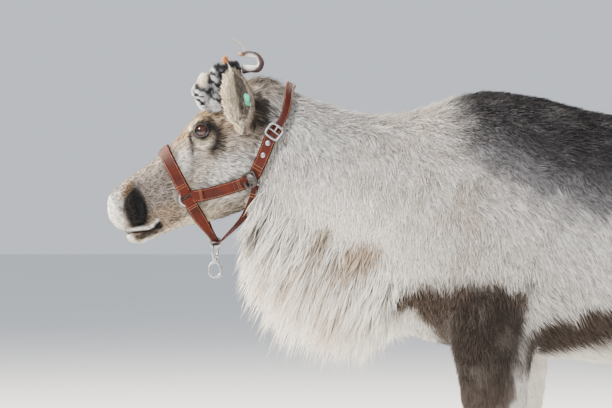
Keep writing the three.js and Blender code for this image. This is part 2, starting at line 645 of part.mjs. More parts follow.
// The frame of a ring that lies on the side of the head: its centre and its two directions
function ringFrame({ t, h, radius, wire }, side) {
  const core = headPoint(t, h, 0);
  const at = (dt, dh) => onCoat(headPoint(t + dt, h + dh, 110 * side), headPoint(t + dt, h + dh, 0));
  const ahead = at(12, 0).sub(at(-12, 0)).normalize();
  const out = ahead.clone().cross(at(0, 12).sub(at(0, -12))).normalize();
  if (out.y * side < 0) out.negate();
  const centre = onCoat(headPoint(t, h, 110 * side), core);
  const up = out.clone().cross(ahead).normalize();
  const heights = Array.from({ length: 16 }, (_, i) => {
    const rim = centre.clone()
      .addScaledVector(ahead, (radius + wire) * Math.cos((i * Math.PI) / 8))
      .addScaledVector(up, (radius + wire) * Math.sin((i * Math.PI) / 8));
    return onCoat(rim.clone().addScaledVector(out, 60), rim).sub(centre).dot(out);
  });
  return { centre: centre.addScaledVector(out, Math.max(...heights) + wire + 0.8), ahead, up };
}

function sideRing(ring, side, corner, grow = 0) {
  const { centre, ahead, up } = ringFrame(ring, side);
  return wireLoop(centre, ahead, up, ring.radius + ring.wire + grow, ring.radius + ring.wire + grow, ring.wire + grow,
    { corner });
}

// Points of the coat under guide points at one side, with the way out at each
function laid(guides, side) {
  const points = guides.map(([t, h, y, coreT, coreH]) => onCoat(headPoint(t, h, y * side), headPoint(coreT, coreH, 0)));
  const outs = guides.map(([t, h, y, coreT, coreH], i) => points[i].clone().sub(headPoint(coreT, coreH, 0)).normalize());
  return { points, outs };
}

function cheekStrap(side) {
  const guides = CHEEK_PATH.map(([t, h]) => [t, h, 130, t, h]);
  const { points } = laid(guides, side);
  return strap(points, points.map(() => v3(0, side, 0)), { steps: 12 });
}

// Over the bridge of the nose from ring to ring
function noseband() {
  const count = 13;
  const guides = Array.from({ length: count }, (_, i) => {
    const turn = (-112 + (224 * i) / (count - 1)) * DEG;
    return [NOSE_RING.t - 2, -8 + 130 * Math.cos(turn), 130 * Math.sin(turn), NOSE_RING.t - 2, -8];
  });
  const { points, outs } = laid(guides, 1);
  return strap(points, outs, { steps: 18 });
}

// From each junction up behind the ear and over the nape
function crownLine() {
  const left = laid(CROWN_PATH, LEFT);
  const right = laid(CROWN_PATH.slice(0, -1), RIGHT);
  const outs = (side, way) => way.map((out) => out.lerp(v3(0, side, 0), 0.25).normalize());
  return {
    points: [...left.points, ...right.points.reverse()],
    outs: [...outs(LEFT, left.outs), ...outs(RIGHT, right.outs).reverse()],
  };
}

function crownStrap() {
  const { points, outs } = crownLine();
  return strap(points, outs, { steps: 26 });
}

// From side to side under the jaw, hanging free in the middle where it passes through the swivel's loop
function hangingStrap(path, drop, level, wide, free) {
  const guides = path.map(([t, h, y, coreH]) => [t, h, y, t, coreH]);
  const [left, right] = [laid(guides, LEFT), laid(guides, RIGHT)];
  const hanging = (s) => drop.map(([t, h, y]) => headPoint(t, h, y * s));
  const middle = v3(SWIVEL.x, 0, level);
  const points = [...left.points, ...hanging(LEFT), middle, ...hanging(RIGHT).reverse(), ...right.points.reverse()];
  const turned = (s) => drop.map(([, , y]) => headDirection(0, -1, 0).lerp(v3(0, s, 0), Math.min(1, y / 80)).normalize());
  const outs = [...left.outs, ...turned(LEFT), v3(0, 0, -1), ...turned(RIGHT).reverse(), ...right.outs.reverse()];
  return strap(points, outs, { wide, free, steps: 20 });
}

function frameAt({ points, outs }, f) {
  const curve = new THREE.CatmullRomCurve3(points, false, "centripetal");
  const tangent = curve.getTangentAt(f);
  const across = tangent.clone().cross(new THREE.CatmullRomCurve3(outs, false, "centripetal").getPoint(f)).normalize();
  return { p: curve.getPointAt(f), tangent, across, out: across.clone().cross(tangent).normalize() };
}

// The buckle's frame with its prong lying across it
function buckle(grow = 0) {
  const { p, tangent, across, out } = frameAt(crownLine(), BUCKLE.at);
  const wire = BUCKLE.wire + grow;
  const centre = p.clone().addScaledVector(out, STRAP.off + STRAP.thick + BUCKLE.wire * 1.2);
  const frame = wireLoop(centre, tangent, across, BUCKLE.long / 2 + grow, BUCKLE.wide / 2 + grow, wire,
    { corner: 0.5 });
  const ends = [-1, 1].map((s) => centre.clone().addScaledVector(tangent, s * (BUCKLE.long / 2 - wire)).addScaledVector(out, 0.6));
  return frame.add(bar(ends, [wire * 0.7, wire * 0.7], { sides: 6, steps: 2 }));
}

function rivet(side, at, crown) {
  const { p, out } = frameAt(crownLine(), side === LEFT ? at : 1 - at);
  ray.set(p.clone().addScaledVector(out, 40), out.clone().negate());
  const seat = ray.intersectObject(meshOf(crown))[0].point;
  const profile = [[0, 0], [1, 0], [0.75, 0.7], [0, 1]];
  const dome = new THREE.LatheGeometry(profile.map(([x, y]) => new THREE.Vector2(x * RIVET.radius, y * RIVET.high)), 10);
  dome.applyQuaternion(new THREE.Quaternion().setFromUnitVectors(v3(0, 1, 0), out));
  const centre = seat.addScaledVector(out, GAP);
  return solidOf(dome.translate(centre.x, centre.y, centre.z)).subtract(crown);
}

// The swivel under the chin, hanging plumb: a loop on the straps, a shackle, and a loop for a clip
function swivelLoop(grow = 0) {
  const { z, wide, high, wire } = SWIVEL.loop;
  return wireLoop(v3(SWIVEL.x, 0, z), v3(1, 0, 0), v3(0, 0, 1), wide / 2 + grow, high / 2 + grow, wire + grow, { corner: 0.5 });
}

function swivelShackle(grow = 0) {
  const { z, wide, high, wire } = SWIVEL.shackle;
  return wireLoop(v3(SWIVEL.x, 0, z), v3(0.5, 0.866, 0), v3(0, 0, 1), wide / 2 + grow, high / 2 + grow, wire + grow,
    { corner: 0.7, taper: -0.12 });
}

function swivelLower() {
  const { z, wide, high, wire } = SWIVEL.lower;
  const { radius, high: tall, z: level } = SWIVEL.barrel;
  const loop = wireLoop(v3(SWIVEL.x, 0, z), v3(1, 0, 0), v3(0, 0, 1), wide / 2, high / 2, wire, { corner: 0.8, taper: 0.16 });
  const post = bar([v3(SWIVEL.x, 0, level - tall / 2), v3(SWIVEL.x, 0, level + tall / 2)], [radius, radius * 0.8],
    { sides: 10, steps: 2 });
  return loop.add(post);
}

const model = new THREE.Group();

function addPart(name, solid, colour, roughness = 0.85, metalness = 0) {
  const { numProp, vertProperties, triVerts } = largest(solid).getMesh();
  const geometry = new THREE.BufferGeometry();
  const count = vertProperties.length / numProp;
  const position = new Float32Array(count * 3);
  for (let i = 0; i < count; i++) position.set(vertProperties.subarray(i * numProp, i * numProp + 3), i * 3);
  geometry.setAttribute("position", new THREE.BufferAttribute(position, 3));
  geometry.setIndex(new THREE.BufferAttribute(triVerts, 1));
  geometry.computeVertexNormals();
  const mesh = new THREE.Mesh(geometry, new THREE.MeshStandardMaterial({ color: colour, roughness, metalness }));
  mesh.name = name;
  model.add(mesh);
}

// The trunk, parted from the neck at the shoulder and from the head behind the ears
const NECK_CUT = [[-345, 560], [-262, 1060]];
const NAPE_CUT = [[-598, 760], [-522, 1100]];

function legShape(pair, name, side, grow = 0) {
  const sections = pair === "fore" ? FORELEG : HINDLEG;
  return loft(sections, { sides: 12, between: 1, grow, side, shift: STEP[pair][name] });
}

function buildBody() {
  const whole = headAndNeck();
  const front = below(whole, [NECK_CUT[1], NECK_CUT[0]]);
  const rear = above(whole, [NECK_CUT[1], NECK_CUT[0]]);
  return { front, rear };
}

function buildTorso(rear) {
  const tops = ["fore", "hind"].flatMap((pair) =>
    SIDES.map(([name, side]) => above(legShape(pair, name, side), moved(LEG_TOP[pair], STEP[pair][name]))),
  );
  addPart("torso", join([rear, ...tops]), COAT.grey);
}

function buildHead(front) {
  let head = above(front, NAPE_CUT);
  SIDES.forEach(([, side]) => {
    head = head.subtract(lidOpening(side)).subtract(eyeball(side, GAP)).subtract(nostril(side));
  });
  addPart("head", head.subtract(mouthSlit()), COAT.grey);
  SIDES.forEach(([name, side]) => addPart("eye_" + name, eyeball(side), COAT.eye, 0.1));
}

// The long white hair of the throat, in rows of locks from the brisket to the throat
function ruffLocks() {
  const random = seeded(11);
  const locks = [];
  for (let row = 0; row < RUFF.rows; row++) {
    for (let i = 0; i < RUFF.across; i++) {
      const share = row / (RUFF.rows - 1);
      const at = RUFF.from + (RUFF.to - RUFF.from) * share + 0.2 * (random() - 0.5);
      const place = (2 * (i + 0.5 * (row % 2) + 0.25)) / RUFF.across - 1;
      const angle = -90 + RUFF.spread * place + 7 * (random() - 0.5);
      const [root, out] = [skinPoint(TRUNK, at, angle), skinNormal(TRUNK, at, angle)];
      const forward = through([...RUFF.forward].reverse(), share * 4) + 0.16 * (random() - 0.5);
      const lie = v3(-forward, 0.1 * (random() - 0.5), -1).normalize();
      const flat = lie.dot(out);
      lie.addScaledVector(out, flat < 0.1 ? 0.1 - flat : -0.35 * (flat - 0.1)).normalize();
      const length = through([...RUFF.lengths].reverse(), share * 4) * (0.82 + 0.36 * random());
      locks.push(lock(root, out, lie, length * (1 - 0.2 * place * place), RUFF));
    }
  }
  return locks;
}

// The tail with its fringe
function tail() {
  const random = seeded(5);
  const locks = [];
  for (let row = 0; row < TAIL_LOCKS.rows; row++) {
    for (let i = 0; i < TAIL_LOCKS.across; i++) {
      const at = 2.4 + row * 1.3 + 0.2 * random();
      const angle = 90 + 62 * ((2 * i) / (TAIL_LOCKS.across - 1) - 1);
      const [root, out] = [skinPoint(TAIL, at, angle), skinNormal(TAIL, at, angle)];
      const lie = v3(0.12, 0.18 * (random() - 0.5), -1).normalize();
      locks.push(lock(root, out, lie, TAIL_LOCKS.length * (0.8 + 0.4 * random()), TAIL_LOCKS));
    }
  }
  return join([loft(TAIL, { sides: 10, between: 1 }), ...locks]);
}

function buildNeck(front) {
  const neck = below(front, NAPE_CUT);
  const clear = below(below(join(ruffLocks()), [NECK_CUT[1], NECK_CUT[0]]), NAPE_CUT);
  const whole = largest(neck.add(clear));
  addPart("neck", whole, COAT.white);
  return whole;
}

function buildLegs(trunk) {
  SIDES.forEach(([name, side]) => {
    ["fore", "hind"].forEach((pair) => {
      const step = STEP[pair][name];
      const shift = step + (pair === "hind" ? HIND_SHIFT : 0);
      const hooves = [["outer", true], ["inner", false]];
      const leg = below(legShape(pair, name, side), moved(LEG_TOP[pair], step)).subtract(trunk);
      const knee = moved(KNEE[pair], step);
      const grownToes = hooves.map(([, outer]) => grownToe(side, outer, shift));
      const label = pair + "leg_" + name;
      addPart(label + "_upper", above(leg, knee), COAT.brown);
      const lower = grownToes.reduce((rest, t) => rest.subtract(t), below(leg, knee));
      addPart(label + "_lower", lower, COAT.brown);
      const grownLeg = legShape(pair, name, side, GAP);
      hooves.forEach(([which, outer]) => {
        addPart(`hoof_${pair}_${name}_${which}`, toe(side, outer, shift), COAT.horn, 0.6);
        addPart(`dewclaw_${pair}_${name}_${which}`, dewclaw(side, outer, shift).subtract(grownLeg), COAT.horn, 0.6);
      });
    });
  });
}

// A toe with its clearance, as cut out of the leg above it
function grownToe(side, outer, shift) {
  const plain = toe(side, outer, shift);
  const box = plain.boundingBox();
  const middle = box.min.map((low, i) => (low + box.max[i]) / 2);
  const factor = box.min.map((low, i) => 1 + (2 * GAP) / (box.max[i] - low));
  return plain
    .translate(middle.map((m) => -m))
    .scale(factor)
    .translate(middle);
}

function stump({ path, radii }, side, sides, steps, grow = 0) {
  return bar(path.map(([t, h, y]) => headPoint(t, h, y * side)), radii.map((r) => r + grow), { sides, steps });
}

function buildAntlers(flesh) {
  SIDES.forEach(([name, side]) => {
    const beam = (grow) => stump(ANTLER.beam, side, 9, 10, grow).add(headLump(ANTLER.knob, side, grow, 8));
    const rest = beam(GAP).add(flesh);
    addPart(`antler_${name}_beam`, beam(0).subtract(flesh), COAT.velvet, 0.9);
    addPart(`antler_${name}_brow`, stump(ANTLER.brow, side, 9, 8).subtract(rest), COAT.velvet, 0.9);
    if (side === LEFT) addPart(`antler_${name}_tine`, stump(ANTLER.tine, side, 6, 14).subtract(rest), COAT.velvet, 0.8);
  });
}

function buildEars(flesh) {
  SIDES.forEach(([name, side]) => {
    const cup = ear(side).subtract(flesh);
    addPart("ear_" + name, side === LEFT ? cup.subtract(earTag(GAP)) : cup, COAT.grey);
  });
  addPart("ear_tag", earTag(), COAT.tag, 0.45);
}

function buildHalter(flesh, neck) {
  const rings = SIDES.flatMap(([, side]) => [sideRing(NOSE_RING, side, 1, GAP), sideRing(JUNCTION, side, 0.5, GAP)]);
  const metal = join([...rings, buckle(GAP), swivelLoop(GAP)]);
  let taken = metal.add(flesh).add(neck);
  const leather = [
    ["noseband", noseband()],
    ...SIDES.map(([name, side]) => ["cheek_strap_" + name, cheekStrap(side)]),
    ["crown_strap", crownStrap()],
    ["chin_strap", hangingStrap(CHIN_PATH, CHIN_DROP, SWIVEL.loop.z + 2.4, STRAP.wide, 34)],
    ["throat_strap", hangingStrap(THROAT_PATH, THROAT_DROP, SWIVEL.loop.z - 2.4, STRAP.wide * 0.8, 86)],
  ];
  leather.forEach(([name, body]) => {
    addPart(name, body.subtract(taken), COAT.leather, 0.55);
    taken = taken.add(body);
  });
  SIDES.forEach(([name, side]) => {
    addPart("nose_ring_" + name, sideRing(NOSE_RING, side, 1), COAT.metal, 0.3, 1);
    addPart("junction_ring_" + name, sideRing(JUNCTION, side, 0.5), COAT.metal, 0.3, 1);
    RIVET.at.forEach((at, i) => addPart(`rivet_${name}_${i + 1}`, rivet(side, at, leather[3][1]), COAT.metal, 0.3, 1));
  });
  addPart("buckle", buckle(), COAT.metal, 0.3, 1);
  addPart("swivel_loop", swivelLoop(), COAT.metal, 0.3, 1);
  addPart("swivel_shackle", swivelShackle().subtract(swivelLoop(GAP)).subtract(taken), COAT.metal, 0.3, 1);
  addPart("swivel_lower", swivelLower().subtract(swivelShackle(GAP)), COAT.metal, 0.3, 1);
}

function buildAll() {
  const { front, rear } = buildBody();
  const flesh = headAndNeck(GAP);
  coat = meshOf(headAndNeck());
  buildHead(front);
  const neck = buildNeck(front);
  buildTorso(rear);
  buildLegs(loft(TRUNK, { grow: GAP }));
  addPart("tail", tail().subtract(flesh), COAT.white);
  buildEars(flesh);
  buildAntlers(flesh);
  buildHalter(flesh, neck);
}

buildAll();

const box = new THREE.Box3().setFromObject(model);
const centre = box.getCenter(v3(0, 0, 0));
model.children.forEach((mesh) => mesh.geometry.translate(-centre.x, -centre.y, -box.min.z));
model.userData.origin = [-centre.x, -centre.y, -box.min.z];

export default model;
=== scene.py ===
"""A domestic reindeer in its winter coat, standing, life size, in a leather halter with a swivel.

Shapes are worked out in the animal's own frame, in millimetres: the nose points along -X, its left
side faces -Y, y = 0 is the plane through the spine and z = 0 the floor. They are placed in the
metres of the shared frame just before a mesh is made.
"""

import logging
import math
from collections.abc import Callable, Sequence
from dataclasses import dataclass
from enum import Enum

import bpy
import numpy as np
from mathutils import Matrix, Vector
from mathutils.bvhtree import BVHTree
from mathutils.kdtree import KDTree


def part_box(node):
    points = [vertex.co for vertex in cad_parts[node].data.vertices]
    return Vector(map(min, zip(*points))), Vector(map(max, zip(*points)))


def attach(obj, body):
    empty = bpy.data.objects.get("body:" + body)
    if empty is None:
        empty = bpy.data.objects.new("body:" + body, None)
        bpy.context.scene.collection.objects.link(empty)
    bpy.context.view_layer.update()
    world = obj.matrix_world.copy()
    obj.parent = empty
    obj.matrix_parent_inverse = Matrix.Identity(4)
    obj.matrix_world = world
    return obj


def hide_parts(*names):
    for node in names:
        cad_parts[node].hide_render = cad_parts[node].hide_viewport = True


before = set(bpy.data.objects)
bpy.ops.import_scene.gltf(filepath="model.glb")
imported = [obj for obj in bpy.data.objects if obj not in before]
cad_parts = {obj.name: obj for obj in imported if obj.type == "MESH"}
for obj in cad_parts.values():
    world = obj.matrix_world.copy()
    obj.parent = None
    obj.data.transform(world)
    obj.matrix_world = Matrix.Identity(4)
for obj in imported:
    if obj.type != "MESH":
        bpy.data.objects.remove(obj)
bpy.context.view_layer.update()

log = logging.getLogger("reindeer")
MM = 0.001
LEFT = -1
RIGHT = 1
SIDES = {"left": LEFT, "right": RIGHT}
BODY = "root"


class Zone(Enum):
    """Stretches of the skin whose coat is grown as one piece."""

    FACE_LEFT = 0
    FACE_RIGHT = 1
    NECK_LEFT = 2
    NECK_RIGHT = 3
    SHOULDER_LEFT = 4
    SHOULDER_RIGHT = 5
    RIBS_LEFT = 6
    RIBS_RIGHT = 7
    RUMP_LEFT = 8
    RUMP_RIGHT = 9
    RUFF_LEFT = 10
    RUFF_RIGHT = 11
    FORELEGS = 12
    HINDLEGS = 13


class Slot(Enum):
    """The record's material slots."""

    COAT = "coat"
    LONG_HAIR = "long_hair"
    VELVET = "velvet"
    EYE = "eye"
    HOOF = "hoof"
    LEATHER = "leather"
    STEEL = "steel"
    TAG = "tag_plastic"


def linear(red: float, green: float, blue: float) -> np.ndarray:
    """Screen colour as linear light."""
    colour = np.array([red, green, blue])
    return np.where(colour < 0.04045, colour / 12.92, ((colour + 0.055) / 1.055) ** 2.4)


def rgba(colour: np.ndarray) -> tuple[float, float, float, float]:
    """Linear colour with full alpha, as a socket takes it."""
    return (float(colour[0]), float(colour[1]), float(colour[2]), 1.0)


def smooth_step(value: np.ndarray, low: float = 0.0, high: float = 1.0) -> np.ndarray:
    """0 below low, 1 above high, and an even turn between them."""
    share = np.clip((value - low) / (high - low), 0, 1)
    return share * share * (3 - 2 * share)


def unit(vectors: np.ndarray) -> np.ndarray:
    """Vectors brought to length 1."""
    return vectors / np.maximum(np.linalg.norm(vectors, axis=-1, keepdims=True), 1e-9)


def ripple(points: np.ndarray, size: float, seed: int) -> np.ndarray:
    """Soft noise between about -1 and 1.

    Args:
        points: Places in millimetres.
        size: Length of one wave in millimetres.
        seed: Picks the waves.

    Returns:
        One value for each point.
    """
    random = np.random.default_rng(seed)
    waves = unit(random.normal(size=(9, 3))) * random.uniform(0.6, 1.6, (9, 1)) * 2 * math.pi / size
    turns = random.uniform(0, 2 * math.pi, 9)
    return np.sin(points @ waves.T + turns).sum(1) / 3.6


def through(rows: np.ndarray, at: np.ndarray) -> np.ndarray:
    """Rows at real indices, on Catmull-Rom curves through the given rows.

    Args:
        rows: Array of n rows of numbers.
        at: Real indices from 0 to n - 1.

    Returns:
        One row for each index.
    """
    at = np.atleast_1d(np.asarray(at, float))
    first = np.clip(np.floor(at).astype(int), 0, len(rows) - 2)
    share = (at - first)[:, None]
    wide = np.vstack([2 * rows[0] - rows[1], rows, 2 * rows[-1] - rows[-2]])
    a, b, c, d = (wide[first + k] for k in range(4))
    return b + 0.5 * share * (c - a + share * (2 * a - 5 * b + 4 * c - d + share * (3 * (b - c) + d - a)))


def resampled(points: Sequence, count: int) -> np.ndarray:
    """Evenly spaced points on a smooth curve through the given ones."""
    rows = np.asarray(points, float)
    fine = through(rows, np.linspace(0, len(rows) - 1, 40 * len(rows)))
    run = np.concatenate([[0], np.cumsum(np.linalg.norm(np.diff(fine, axis=0), axis=1))])
    target = np.linspace(0, run[-1], count)
    return np.stack([np.interp(target, run, fine[:, k]) for k in range(rows.shape[1])], 1)


@dataclass(frozen=True)
class HeadFrame:
    """The head's own directions: t from the nape to the nose, h up over the forehead."""

    x: float = -569.0
    z: float = 950.0
    droop: float = math.radians(28)

    def point(self, t, h, y=0.0) -> np.ndarray:
        """Points of the animal from values of the head frame."""
        c, s = math.cos(self.droop), math.sin(self.droop)
        t, h, y = np.broadcast_arrays(*(np.asarray(v, float) for v in (t, h, y)))
        return np.stack([self.x - t * c - h * s, y, self.z - t * s + h * c], -1)

    def direction(self, t: float, h: float, y: float) -> np.ndarray:
        """Direction of the animal's frame from one of the head's."""
        return unit(self.point(t, h, y) - self.point(0, 0, 0))

    def values(self, points: np.ndarray) -> tuple[np.ndarray, np.ndarray, np.ndarray]:
        """Head frame values t, h and y of points of the animal."""
        c, s = math.cos(self.droop), math.sin(self.droop)
        x, z = points[..., 0] - self.x, points[..., 2] - self.z
        return -x * c - z * s, -x * s + z * c, points[..., 1]


HEAD = HeadFrame()


@dataclass(frozen=True)
class EyePlace:
    """Where an eyeball sits in the head frame, and its radius."""

    t: float = 93
    h: float = 66
    y: float = 58
    radius: float = 17

    def centre(self, side: int) -> np.ndarray:
        """Centre of one eyeball."""
        return HEAD.point(self.t, self.h, self.y * side)


EYE = EyePlace()
EYE_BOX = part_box("eye_left")
SHIFT = 500 * (EYE_BOX[0].x + EYE_BOX[1].x) - EYE.centre(LEFT)[0]


def placed(points: np.ndarray) -> np.ndarray:
    """Points of the animal in millimetres as points of the shared frame in metres."""
    return (points + np.array([SHIFT, 0, 0])) * MM


def unplaced(points: np.ndarray) -> np.ndarray:
    """Points of the shared frame as points of the animal."""
    return points / MM - np.array([SHIFT, 0, 0])


@dataclass
class Shell:
    """Points in millimetres, the faces between them, and their place on a flat map."""

    points: np.ndarray
    faces: list
    flat: np.ndarray | None = None

    def joined(self, *others: "Shell") -> "Shell":
        """This shell and others as one."""
        points, faces = [self.points], list(self.faces)
        start = len(self.points)
        for other in others:
            points.append(other.points)
            faces.extend([tuple(i + start for i in face) for face in other.faces])
            start += len(other.points)
        flats = [s.flat for s in (self, *others)]
        flat = np.vstack(flats) if all(f is not None for f in flats) else None
        return Shell(np.vstack(points), faces, flat)

    def mirrored(self) -> "Shell":
        """The same shell on the other side of the spine, still facing out."""
        flat = None if self.flat is None else self.flat.copy()
        return Shell(self.points * [1, -1, 1], [tuple(reversed(face)) for face in self.faces], flat)


def skinned(rings: np.ndarray, caps: bool = True, loop: bool = False) -> Shell:
    """Shell through rings of points, with a fan over each end.

    Args:
        rings: Array of k rings of m points.
        caps: Closes the two ends.
        loop: Joins the last ring to the first instead.

    Returns:
        The closed shell.
    """
    count, size = rings.shape[:2]
    points = rings.reshape(-1, 3)
    k, i = np.meshgrid(np.arange(count if loop else count - 1), np.arange(size), indexing="ij")
    j, n = (i + 1) % size, (k + 1) % count
    faces = np.stack([k * size + i, n * size + i, n * size + j, k * size + j], -1).reshape(-1, 4).tolist()
    if caps and not loop:
        points = np.vstack([points, rings[0].mean(0), rings[-1].mean(0)])
        last = (count - 1) * size
        for i in range(size):
            j = (i + 1) % size
            faces.append((count * size, i, j))
            faces.append((count * size + 1, last + j, last + i))
    shell = Shell(points, faces)
    return shell if volume_of(shell) > 0 else Shell(points, [tuple(reversed(face)) for face in faces])


def volume_of(shell: Shell) -> float:
    """Signed volume times six, positive where the faces point outwards."""
    total = 0.0
    for size in {len(face) for face in shell.faces}:
        corners = shell.points[np.array([face for face in shell.faces if len(face) == size])]
        for i in range(1, size - 1):
            total += (corners[:, 0] * np.cross(corners[:, i], corners[:, i + 1])).sum()
    return total


class Loft:
    """A body through named slices.

    Each row gives a slice's point on the back (x, z) and on the belly (x, z), its half width, the
    height of its widest line as a share, how square it is (2 is an ellipse), and its y.
    """

    def __init__(self, rows: Sequence, inset: Sequence[float]) -> None:
        """Keeps the rows and how far the skin lies inside the coat at each of them."""
        self.rows = np.asarray(rows, float)
        self.inset = np.asarray(inset, float)[:, None]

    def surface(self, at: np.ndarray, angles: np.ndarray, grow: np.ndarray | float = 0.0) -> np.ndarray:
        """Grid of points at slices and angles, where 90 is the back and -90 the belly."""
        rows = through(self.rows, at)
        back, belly = rows[:, 0:2], rows[:, 2:4]
        wide, widest, full, y = (rows[:, k][:, None] for k in (4, 5, 6, 7))
        tall = np.linalg.norm(back - belly, axis=1)[:, None]
        up = (back - belly) / tall
        middle = belly + up * tall * widest
        turn = np.radians(np.atleast_1d(angles))[None, :]
        grow = np.broadcast_to(np.asarray(grow, float), (len(rows),))[:, None]

        def power(value: np.ndarray) -> np.ndarray:
            """Squared-off sine or cosine."""
            return np.sign(value) * np.abs(value) ** (2 / full)

        along, across = power(np.sin(turn)), power(np.cos(turn))
        reach = np.where(along > 0, (1 - widest) * tall, widest * tall) + grow
        x = middle[:, :1] + up[:, :1] * along * reach
        z = middle[:, 1:] + up[:, 1:] * along * reach
        return np.stack([x, y + across * (wide + grow), z], -1)

    def shell(self, between: int, sides: int, skin: bool, side: int = 1, shift: float = 0.0) -> Shell:
        """The body as a shell, at the coat's outside or at the skin."""
        at = np.linspace(0, len(self.rows) - 1, (len(self.rows) - 1) * between + 1)
        grow = -through(self.inset, at)[:, 0] if skin else np.zeros(len(at))
        rings = self.surface(at, np.arange(sides) * 360 / sides, grow)
        for end, near, by in ((0, 1, grow[0]), (-1, -2, grow[-1])):
            out = unit(rings[end].mean(0) - rings[near].mean(0))
            rings[end] += out * by
        rings[:, :, 1] *= side
        rings[:, :, 0] += shift
        return skinned(rings)


def in_head(rows: Sequence) -> list:
    """Rows of t, top, bottom, wide, widest and full as rows of a loft."""
    made = []
    for t, top, bottom, wide, widest, full in rows:
        back, belly = HEAD.point(t, top), HEAD.point(t, bottom)
        made.append((back[0], back[2], belly[0], belly[2], wide, widest, full, 0))
    return made


TRUNK = Loft(
    [
        (886, 884, 888, 806, 42, 0.50, 2.0, 0),
        (862, 940, 874, 730, 98, 0.50, 2.1, 0),
        (780, 984, 800, 664, 150, 0.52, 2.2, 0),
        (655, 1004, 668, 612, 180, 0.52, 2.3, 0),
        (510, 996, 505, 556, 200, 0.48, 2.3, 0),
        (320, 982, 310, 510, 222, 0.45, 2.25, 0),
        (110, 1003, 106, 512, 220, 0.45, 2.2, 0),
        (-55, 1042, -62, 526, 196, 0.44, 2.1, 0),
        (-160, 1047, -222, 548, 176, 0.44, 2.05, 0),
        (-285, 1012, -350, 594, 152, 0.45, 2.1, 0),
        (-385, 1010, -478, 652, 128, 0.48, 2.1, 0),
        (-478, 1040, -562, 730, 108, 0.50, 2.1, 0),
        (-545, 1066, -602, 806, 86, 0.50, 2.1, 0),
        (-590, 1040, -622, 870, 52, 0.50, 2.0, 0),
    ],
    inset=[8, 11, 13, 13, 13, 13, 13, 12, 12, 13, 14, 14, 13, 10],
)
SKULL = Loft(
    in_head(
        [
            (-84, 82, -26, 44, 0.50, 2.0),
            (-58, 112, -58, 72, 0.55, 2.1),
            (-18, 119, -76, 80, 0.58, 2.1),
            (60, 112, -103, 75, 0.66, 2.1),
            (92, 103, -106, 74, 0.68, 2.2),
            (120, 92, -102, 65, 0.64, 2.2),
            (147, 80, -97, 56, 0.58, 2.2),
            (176, 71, -90, 50, 0.52, 2.3),
            (240, 60, -66, 46, 0.50, 2.3),
            (270, 56, -48, 51, 0.50, 2.4),
            (296, 50, -38, 52, 0.50, 2.4),
            (314, 40, -34, 44, 0.50, 2.3),
            (325, 22, -22, 27, 0.50, 2.1),
            (330, 8, -10, 10, 0.50, 2.0),
        ]
    ),
    inset=[10, 10, 8, 6, 5, 4, 3.5, 3, 2, 1.6, 1.5, 1.5, 1.5, 1.5],
)
CHIN = Loft(
    in_head(
        [
            (150, -40, -84, 30, 0.5, 2),
            (205, -32, -79, 38, 0.5, 2),
            (236, -28, -75, 40, 0.5, 2),
            (262, -24, -71, 40, 0.5, 2),
            (292, -21, -70, 38, 0.5, 2),
            (310, -26, -63, 29, 0.5, 2),
            (319, -36, -54, 15, 0.5, 2),
        ]
    ),
    inset=[3, 3, 2.5, 2, 2, 2, 2],
)
FORELEG = Loft(
    [
        (-206, 770, -62, 790, 46, 0.5, 2, 88),
        (-236, 670, -36, 690, 62, 0.5, 2, 108),
        (-230, 588, -38, 606, 63, 0.5, 2, 120),
        (-214, 510, -52, 524, 54, 0.5, 2, 126),
        (-198, 440, -68, 446, 46, 0.5, 2, 124),
        (-190, 380, -82, 382, 41, 0.5, 2, 122),
        (-187, 330, -91, 328, 41, 0.5, 2, 121),
        (-178, 282, -104, 282, 33, 0.5, 2, 120),
        (-173, 215, -110, 215, 29, 0.5, 2, 119),
        (-173, 165, -108, 163, 31, 0.5, 2, 118),
        (-182, 130, -100, 122, 38, 0.5, 2, 118),
        (-198, 92, -110, 82, 39, 0.5, 2, 118),
        (-214, 58, -126, 44, 42, 0.5, 2, 118),
        (-214, 38, -134, 30, 36, 0.5, 2, 118),
    ],
    inset=[14, 13, 11, 8, 6, 5, 4, 4, 4, 4, 5, 5, 5, 5],
)
HINDLEG = Loft(
    [
        (600, 880, 818, 900, 60, 0.5, 2, 96),
        (528, 780, 858, 806, 78, 0.5, 2, 108),
        (504, 690, 846, 718, 80, 0.5, 2, 116),
        (520, 612, 812, 650, 68, 0.5, 2, 121),
        (584, 545, 792, 582, 54, 0.5, 2, 123),
        (652, 486, 808, 522, 43, 0.5, 2, 123),
        (708, 430, 836, 462, 37, 0.5, 2, 122),
        (732, 374, 824, 394, 34, 0.5, 2, 121),
        (744, 300, 810, 304, 29, 0.5, 2, 120),
        (742, 220, 804, 220, 28, 0.5, 2, 119),
        (739, 170, 802, 168, 31, 0.5, 2, 118),
        (728, 132, 810, 124, 38, 0.5, 2, 118),
        (711, 92, 798, 82, 39, 0.5, 2, 118),
        (694, 58, 782, 44, 42, 0.5, 2, 118),
        (694, 38, 774, 30, 36, 0.5, 2, 118),
    ],
    inset=[14, 13, 12, 10, 8, 6, 5, 4, 4, 4, 4, 5, 5, 5, 5],
)
TAIL = Loft(
    [
        (852, 950, 846, 905, 26, 0.5, 2, 0),
        (880, 948, 866, 896, 30, 0.5, 2, 0),
        (909, 918, 872, 880, 32, 0.5, 2, 0),
        (917, 870, 882, 850, 28, 0.5, 2, 0),
        (914, 828, 888, 818, 20, 0.5, 2, 0),
        (908, 796, 895, 790, 9, 0.5, 2, 0),
    ],
    inset=[10, 10, 10, 9, 7, 3],
)
STEPS = {("fore", LEFT): 0.0, ("fore", RIGHT): 62.0, ("hind", LEFT): -26.0, ("hind", RIGHT): 40.0}
HIND_SHIFT = 908.0
LEG_Y = 118.0


